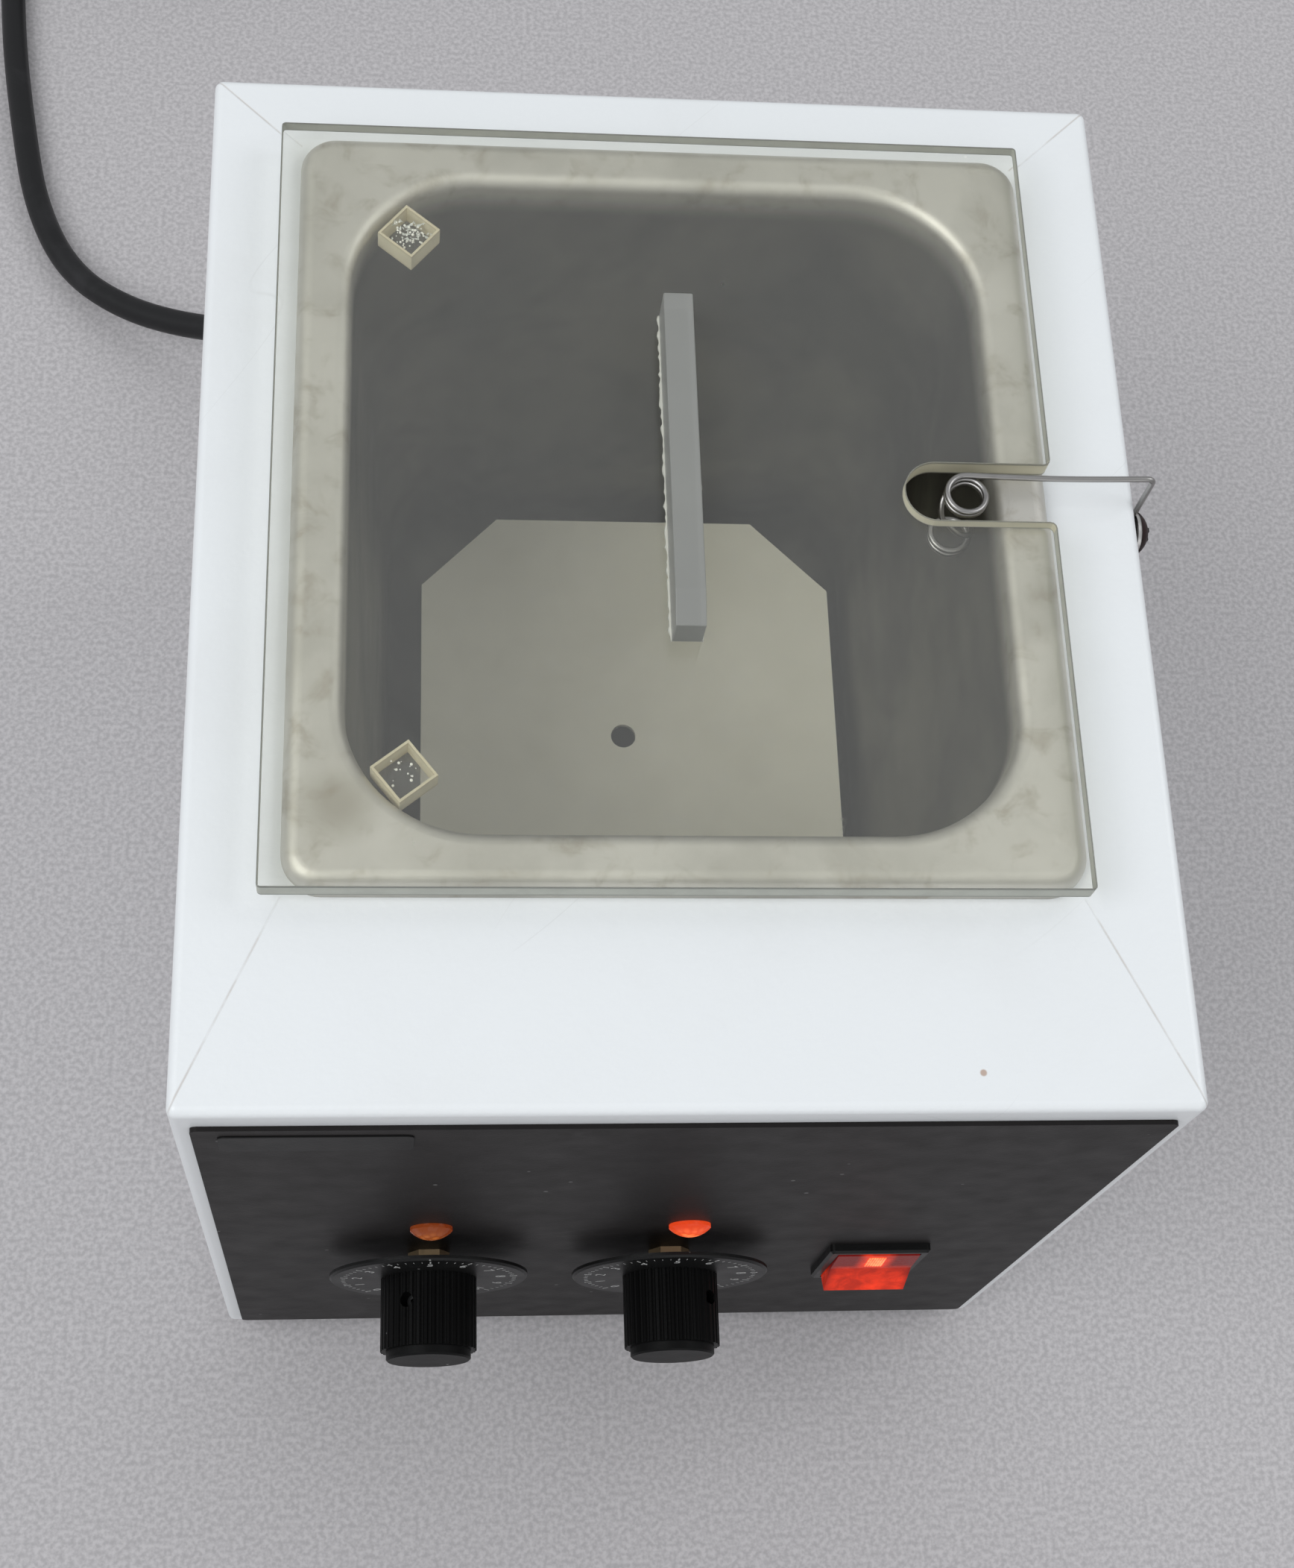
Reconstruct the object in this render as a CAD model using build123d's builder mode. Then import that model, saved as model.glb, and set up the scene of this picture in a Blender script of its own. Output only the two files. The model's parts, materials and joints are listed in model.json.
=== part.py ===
from build123d import *
import os
from math import cos, pi, radians, sin, sqrt, tan

# A small bench water bath: a stainless tank hung in a painted steel case, with a clear lid,
# two thermostat controls and a lit rocker switch.
# Millimetres. +Z is up, the control panel faces -Y, and the feet stand on z = 0.
os.makedirs("parts", exist_ok=True)

# ---------------------------------------------------------------- driving dimensions
case_width = 203.0
case_depth = 240.0
case_height = 220.0
foot_height = 7.0
base_sheet = 1.0
sheet = 1.2
bend_radius = 2.0
knob_reach = 26.0
clip_reach = 5.4

tank_length = 177.0
tank_width = 162.0
tank_drop = 150.0
tank_sheet = 0.9
flange_height = 5.0
flange_corner = 8.0
mouth_length = 154.0
mouth_width = 139.0
mouth_corner = 28.0
wall_taper = 3.6

lid_width = 166.0
lid_length = 179.0
lid_thickness = 4.8

dial_radius = 23.3
knob_radius = 11.25
shaft_radius = 2.4
running_gap = 0.05

cord_diameter = 8.0
cord_radius = cord_diameter / 2

# ---------------------------------------------------------------- places worked out from them
case_x = -clip_reach / 2
case_y = knob_reach / 2
base = foot_height + base_sheet
top = base + case_height
left = case_x - case_width / 2
right = case_x + case_width / 2
front = case_y - case_depth / 2
rear = case_y + case_depth / 2

tank_x = case_x - 0.3
tank_y = case_y + 12.0
flange_top = top + flange_height
tank_floor = flange_top - tank_drop
tank_underside = tank_floor - tank_sheet

panel_face = front - 1.0
control_z = base + 92.0
lamp_z = control_z + 29.0
control_spacing = 57.3
lamp_spacing = 59.0
temp_x = case_x - 49.5
limit_x = temp_x + control_spacing
limit_lamp_x = temp_x + lamp_spacing
switch_x = case_x + 58.7
switch_z = base + 80.5

lid_x = case_x - 2.5
lid_y = case_y + 11.7
clip_x = case_x + 61.5
clip_y = case_y + 11.1


def facing_front(x, z, y=front):
    """A sketch plane that looks out of the front of the case, with its own Y axis pointing up."""
    return Plane(origin=(x, y, z), x_dir=(1, 0, 0), z_dir=(0, -1, 0))


def facing_right(y, z, x=right):
    """A sketch plane that looks out of the right side, with its own X axis pointing to the rear."""
    return Plane(origin=(x, y, z), x_dir=(0, 1, 0), z_dir=(1, 0, 0))


def facing_rear(x, z, y=rear):
    """A sketch plane that looks out of the back of the case."""
    return Plane(origin=(x, y, z), x_dir=(-1, 0, 0), z_dir=(0, 1, 0))


def keep(builder, name):
    """Label a finished piece and write it under its node name."""
    builder.part.label = name
    export_step(builder.part, f"parts/{name}.step")


# ---------------------------------------------------------------- case
base_flange = 14.0
tank_cutout_width = mouth_width + 10.0
tank_cutout_length = mouth_length + 10.0
tank_cutout_corner = mouth_corner + 5.0

bushing_radius = 3.2
lamp_body_radius = 3.9
switch_body_width = 22.0
switch_body_height = 29.6
panel_hole_gap = 0.1

relief_x = case_x - 80.0
relief_z = base + 38.0
relief_hole_radius = 6.4

wire_radius = 0.65
coil_mean_radius = 4.25
clip_screw_radius = 1.75
clip_loop_radius = clip_screw_radius + wire_radius + 0.1
clip_screw_y = clip_y + coil_mean_radius - clip_loop_radius
clip_screw_z = top - 10.0

foot_inset = 24.0
foot_places = [
    (case_x + side * (case_width / 2 - foot_inset), case_y + end * (case_depth / 2 - foot_inset))
    for side in (-1, 1) for end in (-1, 1)
]
base_screw_inset = 8.5
base_screw_places = [
    (case_x + side * (case_width / 2 - base_screw_inset), case_y + step * (case_depth / 2 - 32.0))
    for side in (-1, 1) for step in (-1, 0, 1)
]


def control_holes(gap):
    """Openings for the two bushings, the two lamps and the switch, on the plane of a front sheet."""
    with Locations((temp_x - case_x, control_z), (limit_x - case_x, control_z)):
        Circle(bushing_radius + gap)
    with Locations((temp_x - case_x, lamp_z), (limit_lamp_x - case_x, lamp_z)):
        Circle(lamp_body_radius + gap)
    with Locations((switch_x - case_x, switch_z)):
        Rectangle(switch_body_width + 2 * gap, switch_body_height + 2 * gap)


with BuildPart() as case_shell:
    with BuildSketch(Plane.XY.offset(base)):
        with Locations((case_x, case_y)):
            Rectangle(case_width, case_depth)
    extrude(amount=case_height)
    fillet(case_shell.edges().filter_by(Axis.Z), bend_radius)
    fillet(case_shell.faces().sort_by(Axis.Z)[-1].edges(), bend_radius)
    with BuildSketch(Plane.XY.offset(base + sheet)):
        with Locations((case_x, case_y)):
            Rectangle(case_width - 2 * sheet, case_depth - 2 * sheet)
    extrude(amount=case_height - 2 * sheet, mode=Mode.SUBTRACT)
    with BuildSketch(Plane.XY.offset(base)):
        with Locations((case_x, case_y)):
            Rectangle(case_width - 2 * base_flange, case_depth - 2 * base_flange)
    extrude(amount=sheet, mode=Mode.SUBTRACT)
    with BuildSketch(Plane.XY.offset(top - sheet)):
        with Locations((tank_x, tank_y)):
            RectangleRounded(tank_cutout_width, tank_cutout_length, tank_cutout_corner)
    extrude(amount=sheet, mode=Mode.SUBTRACT)
    with BuildSketch(facing_front(case_x, 0, front + sheet)):
        control_holes(panel_hole_gap)
    extrude(amount=sheet, mode=Mode.SUBTRACT)
    with BuildSketch(facing_rear(relief_x, relief_z, rear - sheet)):
        Circle(relief_hole_radius)
    extrude(amount=sheet, mode=Mode.SUBTRACT)
    with BuildSketch(facing_right(clip_screw_y, clip_screw_z, right - sheet)):
        Circle(clip_screw_radius)
    extrude(amount=sheet, mode=Mode.SUBTRACT)
    with BuildSketch(Plane.XY.offset(base)):
        with Locations(*base_screw_places):
            Circle(1.75)
    extrude(amount=sheet, mode=Mode.SUBTRACT)
keep(case_shell, "case_shell")

panel_side_gap = 4.0
panel_top_gap = 8.0
panel_bottom_gap = 4.0
panel_height = case_height - panel_top_gap - panel_bottom_gap

with BuildPart() as front_panel:
    with BuildSketch(facing_front(case_x, 0)):
        with Locations((0, base + panel_bottom_gap + panel_height / 2)):
            RectangleRounded(case_width - 2 * panel_side_gap, panel_height, 1.5)
    extrude(amount=front - panel_face)
    with BuildSketch(facing_front(case_x, 0)):
        control_holes(panel_hole_gap)
    extrude(amount=front - panel_face, mode=Mode.SUBTRACT)
keep(front_panel, "front_panel")

base_plate_inset = 4.0
vent_slot_length = 26.0
vent_slot_width = 4.0

with BuildPart() as base_plate:
    with BuildSketch(Plane.XY.offset(foot_height)):
        with Locations((case_x, case_y)):
            RectangleRounded(case_width - 2 * base_plate_inset, case_depth - 2 * base_plate_inset, 3)
        with Locations(*foot_places):
            Circle(2.0, mode=Mode.SUBTRACT)
        with Locations(*base_screw_places):
            Circle(1.75, mode=Mode.SUBTRACT)
        with Locations((case_x, case_y)):
            with GridLocations(40.0, 14.0, 3, 5):
                SlotOverall(vent_slot_length, vent_slot_width, mode=Mode.SUBTRACT)
    extrude(amount=base_sheet)
keep(base_plate, "base_plate")

with BuildPart() as base_screws:
    with BuildSketch(Plane.XY.offset(foot_height)):
        with Locations(*base_screw_places):
            Circle(3.4)
    extrude(amount=-2.0)
    fillet(base_screws.faces().group_by(Axis.Z)[0].edges(), 1.2)
    with BuildSketch(Plane.XY.offset(foot_height)):
        with Locations(*base_screw_places):
            Circle(1.75)
    extrude(amount=6.0)
keep(base_screws, "base_screws")

with BuildPart() as rubber_feet:
    with BuildSketch(Plane.XY):
        with Locations(*foot_places):
            Circle(8.5)
    extrude(amount=foot_height, taper=-8)
    fillet(rubber_feet.faces().group_by(Axis.Z)[0].edges(), 1.0)
    with BuildSketch(Plane.XY):
        with Locations(*foot_places):
            Circle(4.6)
    extrude(amount=3.6, mode=Mode.SUBTRACT)
    with BuildSketch(Plane.XY.offset(3.6)):
        with Locations(*foot_places):
            Circle(2.0)
    extrude(amount=foot_height - 3.6, mode=Mode.SUBTRACT)
keep(rubber_feet, "rubber_feet")

with BuildPart() as foot_screws:
    with BuildSketch(Plane.XY.offset(3.6)):
        with Locations(*foot_places):
            Circle(4.0)
    extrude(amount=-2.4)
    with BuildSketch(Plane.XY.offset(3.6)):
        with Locations(*foot_places):
            Circle(2.0)
    extrude(amount=10.0)
keep(foot_screws, "foot_screws")

with BuildPart() as foot_nuts:
    with BuildSketch(Plane.XY.offset(base)):
        with Locations(*foot_places):
            RegularPolygon(3.5, 6, major_radius=False)
            Circle(2.0, mode=Mode.SUBTRACT)
    extrude(amount=3.2)
keep(foot_nuts, "foot_nuts")

# ---------------------------------------------------------------- tank and heating
mouth_roll = 3.0
flange_roll = 3.5
floor_radius = 12.0
tank_depth_outside = flange_top - tank_underside

with BuildPart() as tank_hollow:
    with BuildSketch(Plane.XY.offset(flange_top)):
        with Locations((tank_x, tank_y)):
            RectangleRounded(mouth_width, mouth_length, mouth_corner)
    extrude(amount=-tank_drop, taper=wall_taper)
    fillet(tank_hollow.faces().sort_by(Axis.Z)[0].edges(), floor_radius)

with BuildPart() as tank:
    with BuildSketch(Plane.XY.offset(top)):
        with Locations((tank_x, tank_y)):
            RectangleRounded(tank_width, tank_length, flange_corner)
    extrude(amount=flange_height)
    fillet(tank.faces().sort_by(Axis.Z)[-1].edges(), flange_roll)
    with BuildSketch(Plane.XY.offset(top)):
        with Locations((tank_x, tank_y)):
            RectangleRounded(tank_width - 4.0, tank_length - 4.0, flange_corner - 2.0)
            RectangleRounded(mouth_width + 8.4, mouth_length + 8.4, mouth_corner + 4.2, mode=Mode.SUBTRACT)
    extrude(amount=flange_height - 1.4, mode=Mode.SUBTRACT)
    with BuildSketch(Plane.XY.offset(flange_top)):
        with Locations((tank_x, tank_y)):
            RectangleRounded(mouth_width + 2 * tank_sheet, mouth_length + 2 * tank_sheet,
                             mouth_corner + tank_sheet)
    extrude(amount=-tank_depth_outside, taper=wall_taper)
    fillet(tank.faces().sort_by(Axis.Z)[0].edges(), floor_radius + tank_sheet)
    add(tank_hollow.part, mode=Mode.SUBTRACT)
    mouth_edges = tank.edges().filter_by(
        lambda edge: abs(edge.center().Z - flange_top) < 0.01
        and abs(edge.center().X - tank_x) < mouth_width / 2 + 0.5
        and abs(edge.center().Y - tank_y) < mouth_length / 2 + 0.5)
    fillet(mouth_edges, mouth_roll)
keep(tank, "tank")

insulation_thickness = 10.0
insulation_gap = 0.3
insulation_top = top - sheet - 4.0
insulation_depth = insulation_top - tank_floor
insulation_shrink = 2 * (flange_top - insulation_top) * tan(radians(wall_taper))
blanket_width = mouth_width + 2 * (tank_sheet + insulation_gap) - insulation_shrink
blanket_length = mouth_length + 2 * (tank_sheet + insulation_gap) - insulation_shrink
sensor_window_width = 108.0
sensor_window_height = 46.0
sensor_window_z = tank_floor + 12.0

with BuildPart() as tank_insulation:
    with BuildSketch(Plane.XY.offset(insulation_top)):
        with Locations((tank_x, tank_y)):
            RectangleRounded(blanket_width + 2 * insulation_thickness,
                             blanket_length + 2 * insulation_thickness,
                             mouth_corner + insulation_thickness)
    extrude(amount=-insulation_depth, taper=wall_taper)
    with BuildSketch(Plane.XY.offset(insulation_top)):
        with Locations((tank_x, tank_y)):
            RectangleRounded(blanket_width, blanket_length, mouth_corner)
    extrude(amount=-insulation_depth, taper=wall_taper, mode=Mode.SUBTRACT)
    with BuildSketch(facing_front(tank_x, sensor_window_z, tank_y)):
        with Locations((0, sensor_window_height / 2)):
            Rectangle(sensor_window_width, sensor_window_height)
    extrude(amount=case_depth / 2, mode=Mode.SUBTRACT)
keep(tank_insulation, "tank_insulation")

shelf_x = case_x + 2.3
shelf_y = tank_y
shelf_width = 109.0
shelf_length = 126.0
shelf_corner = 20.0
shelf_sheet = 1.2
shelf_stand = 16.5
shelf_z = tank_floor + shelf_stand
shelf_hole_radius = 3.2
shelf_hole_x = case_x + 0.4
shelf_leg_length = 70.0
shelf_leg_inset = 10.0

with BuildPart() as diffuser_shelf:
    with BuildSketch(Plane.XY.offset(shelf_z - shelf_sheet)):
        with Locations((shelf_x, shelf_y)):
            plate = Rectangle(shelf_width, shelf_length)
            chamfer(plate.vertices(), shelf_corner)
        with Locations((shelf_hole_x, shelf_y)):
            Circle(shelf_hole_radius, mode=Mode.SUBTRACT)
    extrude(amount=shelf_sheet)
    with BuildSketch(Plane.XY.offset(tank_floor)):
        with Locations((shelf_x, shelf_y)):
            with GridLocations(shelf_width - 2 * shelf_leg_inset, 0, 2, 1):
                Rectangle(shelf_sheet, shelf_leg_length)
    extrude(amount=shelf_stand - shelf_sheet)
keep(diffuser_shelf, "diffuser_shelf")

heater_width = 92.0
heater_length = 106.0
heater_thickness = 5.0
clamp_sheet = 1.6
stud_radius = 2.0
stud_length = 12.0
stud_spacing_x = 70.0
stud_spacing_y = 84.0


def heater_studs_at():
    """Where the four studs under the tank floor stand."""
    return GridLocations(stud_spacing_x, stud_spacing_y, 2, 2)


with BuildPart() as heater_studs:
    with BuildSketch(Plane.XY.offset(tank_underside)):
        with Locations((tank_x, tank_y)):
            with heater_studs_at():
                Circle(stud_radius)
    extrude(amount=-stud_length)
keep(heater_studs, "heater_studs")

with BuildPart() as heater_element:
    with BuildSketch(Plane.XY.offset(tank_underside)):
        with Locations((tank_x, tank_y)):
            RectangleRounded(heater_width, heater_length, 4)
            with heater_studs_at():
                Circle(stud_radius + 0.3, mode=Mode.SUBTRACT)
    extrude(amount=-heater_thickness)
    with BuildSketch(Plane.XY.offset(tank_underside - heater_thickness / 2)):
        with Locations((tank_x, tank_y - heater_length / 2 - 4.0)):
            with GridLocations(24.0, 0, 2, 1):
                Rectangle(6.3, 8.0)
    extrude(amount=0.8)
keep(heater_element, "heater_element")

with BuildPart() as heater_clamp_plate:
    with BuildSketch(Plane.XY.offset(tank_underside - heater_thickness)):
        with Locations((tank_x, tank_y)):
            RectangleRounded(heater_width - 4.0, heater_length - 4.0, 3)
            with heater_studs_at():
                Circle(stud_radius + 0.3, mode=Mode.SUBTRACT)
    extrude(amount=-clamp_sheet)
keep(heater_clamp_plate, "heater_clamp_plate")

with BuildPart() as heater_nuts:
    with BuildSketch(Plane.XY.offset(tank_underside - heater_thickness - clamp_sheet)):
        with Locations((tank_x, tank_y)):
            with heater_studs_at():
                RegularPolygon(3.5, 6, major_radius=False)
            with heater_studs_at():
                Circle(stud_radius, mode=Mode.SUBTRACT)
    extrude(amount=-3.2)
keep(heater_nuts, "heater_nuts")

# ---------------------------------------------------------------- controls
dial_back = front - 6.0
dial_thickness = 1.2
dial_front = dial_back - dial_thickness
knob_end = front - 23.8
cap_end = front - knob_reach
boss_radius = 7.0
bushing_end = front - 4.3
nut_thickness = 2.3
shaft_back = front + 10.0
shaft_end = front - 20.0
body_width = 36.0
body_height = 42.0
body_depth = 28.0
flute_count = 40
flute_radius = 0.55
set_screw_radius = 1.7
set_screw_y = front - 13.5
set_screw_turn = {"temp": 29.0, "limit": -52.0}

bulb_radius = 3.0
bulb_length = 74.0
capillary_radius = 0.9
wall_lean = tan(radians(wall_taper))


def tank_front_at(z):
    """How far forward the outside of the tank's front wall stands at a height."""
    return tank_y - mouth_length / 2 - tank_sheet + (flange_top - z) * wall_lean


def thermostat(x):
    """A capillary thermostat behind the panel: its body with a bushing and a blind bore for the shaft."""
    with BuildPart() as body:
        with BuildSketch(facing_front(x, control_z, front + sheet + body_depth)):
            with Locations((0, -4.0)):
                RectangleRounded(body_width, body_height, 2)
        extrude(amount=body_depth)
        with BuildSketch(facing_front(x, control_z, front + sheet)):
            Circle(bushing_radius)
        extrude(amount=front + sheet - bushing_end)
        with BuildSketch(facing_front(x, control_z, shaft_back + 0.5)):
            Circle(shaft_radius + running_gap)
        extrude(amount=shaft_back + 0.5 - bushing_end, mode=Mode.SUBTRACT)
        with BuildSketch(facing_rear(x, control_z - 6.0, front + sheet + body_depth)):
            with GridLocations(16.0, 0, 2, 1):
                Rectangle(6.3, 0.8)
        extrude(amount=4.5)
    return body


def panel_nut(x):
    """The thin hexagon nut that holds a thermostat's bushing to the panel."""
    with BuildPart() as nut:
        with BuildSketch(facing_front(x, control_z, panel_face)):
            RegularPolygon(4.25, 6, major_radius=False)
            Circle(bushing_radius, mode=Mode.SUBTRACT)
        extrude(amount=nut_thickness)
    return nut


def sensor(x, bulb_z, bend_x):
    """A sensing bulb lying on the tank's front wall, with its capillary led back to the thermostat."""
    body_back = front + sheet + body_depth
    bulb_y = tank_front_at(bulb_z) - bulb_radius - 0.3
    bulb_side = tank_x + bend_x
    inner_end = bulb_side + (bulb_length if bend_x < 0 else -bulb_length)
    step = -8.0 if bend_x < 0 else 8.0
    with BuildPart() as bulb:
        with BuildSketch(Plane(origin=(bulb_side, bulb_y, bulb_z), z_dir=(1, 0, 0))):
            Circle(bulb_radius)
        extrude(amount=inner_end - bulb_side)
        with BuildLine() as route:
            FilletPolyline(
                (bulb_side, bulb_y, bulb_z), (bulb_side + step, bulb_y, bulb_z),
                (bulb_side + step, body_back + 6.0, bulb_z + 4.0), (x, body_back + 7.0, control_z - 18.0),
                (x, body_back, control_z - 18.0), radius=1.5)
        with BuildSketch(Plane(origin=(bulb_side, bulb_y, bulb_z), z_dir=(step, 0, 0))):
            Circle(capillary_radius)
        sweep(path=route.line)
    return bulb


def shaft(x):
    """The spindle that the knob turns."""
    with BuildPart() as spindle:
        with BuildSketch(facing_front(x, control_z, shaft_back)):
            Circle(shaft_radius)
        extrude(amount=shaft_back - shaft_end)
    return spindle


def dial(x):
    """The thin graduated skirt behind the knob, with a bevelled rim."""
    with BuildPart() as disc:
        with BuildSketch(facing_front(x, control_z, dial_back)):
            Circle(dial_radius)
            Circle(boss_radius, mode=Mode.SUBTRACT)
        extrude(amount=dial_thickness)
        rim = disc.faces().sort_by(Axis.Y)[0].edges().sort_by(SortBy.RADIUS)[-1]
        chamfer(rim, 0.5)
    return disc


def knob(x, turn):
    """A fluted knob with a blind bore for the shaft and a threaded hole for its set screw."""
    with BuildPart() as grip:
        with BuildSketch(facing_front(x, control_z, dial_front)):
            Circle(knob_radius)
            with PolarLocations(knob_radius + 0.1, flute_count):
                Circle(flute_radius, mode=Mode.SUBTRACT)
        extrude(amount=dial_front - knob_end)
        with BuildSketch(facing_front(x, control_z, dial_back)):
            Circle(boss_radius)
        extrude(amount=dial_thickness)
        with BuildSketch(facing_front(x, control_z, dial_back)):
            Circle(shaft_radius)
        extrude(amount=dial_back - shaft_end, mode=Mode.SUBTRACT)
        outward = (-sin(radians(turn)), 0, cos(radians(turn)))
        with BuildSketch(Plane(origin=(x, set_screw_y, control_z), x_dir=(0, 1, 0), z_dir=outward)):
            Circle(set_screw_radius)
        extrude(amount=knob_radius + 1.0, mode=Mode.SUBTRACT)
    return grip


def set_screw(x, turn):
    """A socket set screw bearing on the shaft."""
    outward = (-sin(radians(turn)), 0, cos(radians(turn)))
    with BuildPart() as screw:
        with BuildSketch(Plane(origin=(x, set_screw_y, control_z), x_dir=(0, 1, 0),
                               z_dir=outward).offset(shaft_radius)):
            Circle(set_screw_radius)
        extrude(amount=5.0)
        with BuildSketch(Plane(origin=(x, set_screw_y, control_z), x_dir=(0, 1, 0),
                               z_dir=outward).offset(shaft_radius + 5.0)):
            RegularPolygon(0.9, 6)
        extrude(amount=-2.0, mode=Mode.SUBTRACT)
    return screw


def knob_cap(x):
    """The smooth plug that closes the knob's outer end."""
    with BuildPart() as cap:
        with BuildSketch(facing_front(x, control_z, knob_end)):
            Circle(9.9)
        extrude(amount=knob_end - cap_end)
        chamfer(cap.faces().sort_by(Axis.Y)[0].edges(), 0.4)
    return cap


for name, x, bulb_z, bend_x in (("temp", temp_x, tank_floor + 24.0, -40.0),
                                ("limit", limit_x, tank_floor + 44.0, 40.0)):
    keep(thermostat(x), f"{name}_thermostat")
    keep(panel_nut(x), f"{name}_panel_nut")
    keep(sensor(x, bulb_z, bend_x), f"{name}_sensor")
    keep(shaft(x), f"{name}_shaft")
    keep(dial(x), f"{name}_dial")
    keep(knob(x, set_screw_turn[name]), f"{name}_knob")
    keep(set_screw(x, set_screw_turn[name]), f"{name}_set_screw")
    keep(knob_cap(x), f"{name}_knob_cap")

# ---------------------------------------------------------------- pilot lamps
lens_radius = 4.8
lens_rim = 0.8
lens_dome = 2.0
lamp_length = 20.0


def lamp_lens(x):
    """A domed lens on a thin rim, seated on the panel."""
    bulge = (lens_radius ** 2 + lens_dome ** 2) / (2 * lens_dome)
    with BuildPart() as lens:
        with BuildSketch(facing_right(0, 0, x)):
            with BuildLine():
                Polyline((panel_face, lamp_z), (panel_face, lamp_z + lens_radius),
                         (panel_face - lens_rim, lamp_z + lens_radius))
                RadiusArc((panel_face - lens_rim, lamp_z + lens_radius),
                          (panel_face - lens_rim - lens_dome, lamp_z), -bulge)
                Line((panel_face - lens_rim - lens_dome, lamp_z), (panel_face, lamp_z))
            make_face()
        revolve(axis=Axis((x, panel_face, lamp_z), (0, 1, 0)))
    return lens


def lamp_body(x):
    """The lamp's tube behind the lens, with a spring clip ring and two tabs."""
    with BuildPart() as tube:
        with BuildSketch(facing_rear(x, lamp_z, panel_face)):
            Circle(lamp_body_radius)
        extrude(amount=lamp_length)
        with BuildSketch(facing_rear(x, lamp_z, front + sheet)):
            Circle(lamp_body_radius + 1.6)
        extrude(amount=1.2)
        with BuildSketch(facing_rear(x, lamp_z, panel_face + lamp_length)):
            with GridLocations(0, 4.0, 1, 2):
                Rectangle(2.8, 0.5)
        extrude(amount=6.0)
    return tube


for name, x in (("heating", temp_x), ("limit", limit_lamp_x)):
    keep(lamp_lens(x), f"{name}_lamp_lens")
    keep(lamp_body(x), f"{name}_lamp_body")

# ---------------------------------------------------------------- rocker switch
bezel_width = 24.5
bezel_height = 31.5
bezel_reach = 2.2
switch_depth = 22.0
pocket_width = 20.4
pocket_height = 28.0
pocket_depth = 8.0
rocker_width = 20.0
rocker_radius = 13.8
rocker_face = 7.4
rocker_dip = 1.3
rocker_tilt = 9.5
pivot_y = front + 2.0
pivot_radius = 1.2

with BuildPart() as switch_housing:
    with BuildSketch(facing_front(switch_x, switch_z, panel_face)):
        RectangleRounded(bezel_width, bezel_height, 1.2)
    extrude(amount=bezel_reach)
    chamfer(switch_housing.faces().sort_by(Axis.Y)[0].edges(), 0.6)
    with BuildSketch(facing_rear(switch_x, switch_z, panel_face)):
        Rectangle(switch_body_width, switch_body_height)
    extrude(amount=switch_depth)
    with BuildSketch(facing_rear(switch_x, switch_z, panel_face - bezel_reach)):
        Rectangle(pocket_width, pocket_height)
    extrude(amount=bezel_reach + pocket_depth + 1.0, mode=Mode.SUBTRACT)
    with BuildSketch(Plane(origin=(switch_x - switch_body_width / 2, pivot_y, switch_z),
                           z_dir=(1, 0, 0))):
        Circle(pivot_radius)
    extrude(amount=switch_body_width, mode=Mode.SUBTRACT)
keep(switch_housing, "switch_housing")

with BuildPart() as switch_pivot_pin:
    with BuildSketch(Plane(origin=(switch_x - switch_body_width / 2, pivot_y, switch_z),
                           z_dir=(1, 0, 0))):
        Circle(pivot_radius)
    extrude(amount=switch_body_width)
keep(switch_pivot_pin, "switch_pivot_pin")

end_rise = sqrt(rocker_radius ** 2 - rocker_face ** 2)
tail = 1.5
tail_rise = sqrt(rocker_radius ** 2 - tail ** 2)
rocker_plane = Plane(origin=(switch_x - rocker_width / 2, pivot_y, switch_z), z_dir=(1, 0, 0),
                     x_dir=(0, -cos(radians(rocker_tilt)), sin(radians(rocker_tilt))))

with BuildPart() as switch_rocker:
    with BuildSketch(rocker_plane):
        with BuildLine():
            Line((rocker_face, end_rise), (rocker_face - rocker_dip, 0))
            Line((rocker_face - rocker_dip, 0), (rocker_face, -end_rise))
            RadiusArc((rocker_face, -end_rise), (-tail, -tail_rise), rocker_radius)
            Polyline((-tail, -tail_rise), (-tail, -5.0), (-4.5, -3.0), (-4.5, 3.0), (-tail, 5.0),
                     (-tail, tail_rise))
            RadiusArc((-tail, tail_rise), (rocker_face, end_rise), rocker_radius)
        make_face()
        Circle(pivot_radius + running_gap, mode=Mode.SUBTRACT)
    extrude(amount=rocker_width)
keep(switch_rocker, "switch_rocker")

with BuildPart() as switch_terminals:
    with BuildSketch(facing_rear(switch_x, switch_z, panel_face + switch_depth)):
        with GridLocations(0, 10.0, 1, 3):
            Rectangle(6.3, 0.8)
    extrude(amount=8.0)
keep(switch_terminals, "switch_terminals")

# ---------------------------------------------------------------- thermometer clip
coil_top = flange_top + 5.2
coil_pitch = 1.45
coil_stretch = 17.0
washer_thickness = 0.8
leg_x = right + washer_thickness + wire_radius
arm_y = clip_y + coil_mean_radius
stretches = ((1.75 * coil_pitch, coil_pitch), (coil_stretch, coil_stretch), (2 * coil_pitch, coil_pitch))

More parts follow.
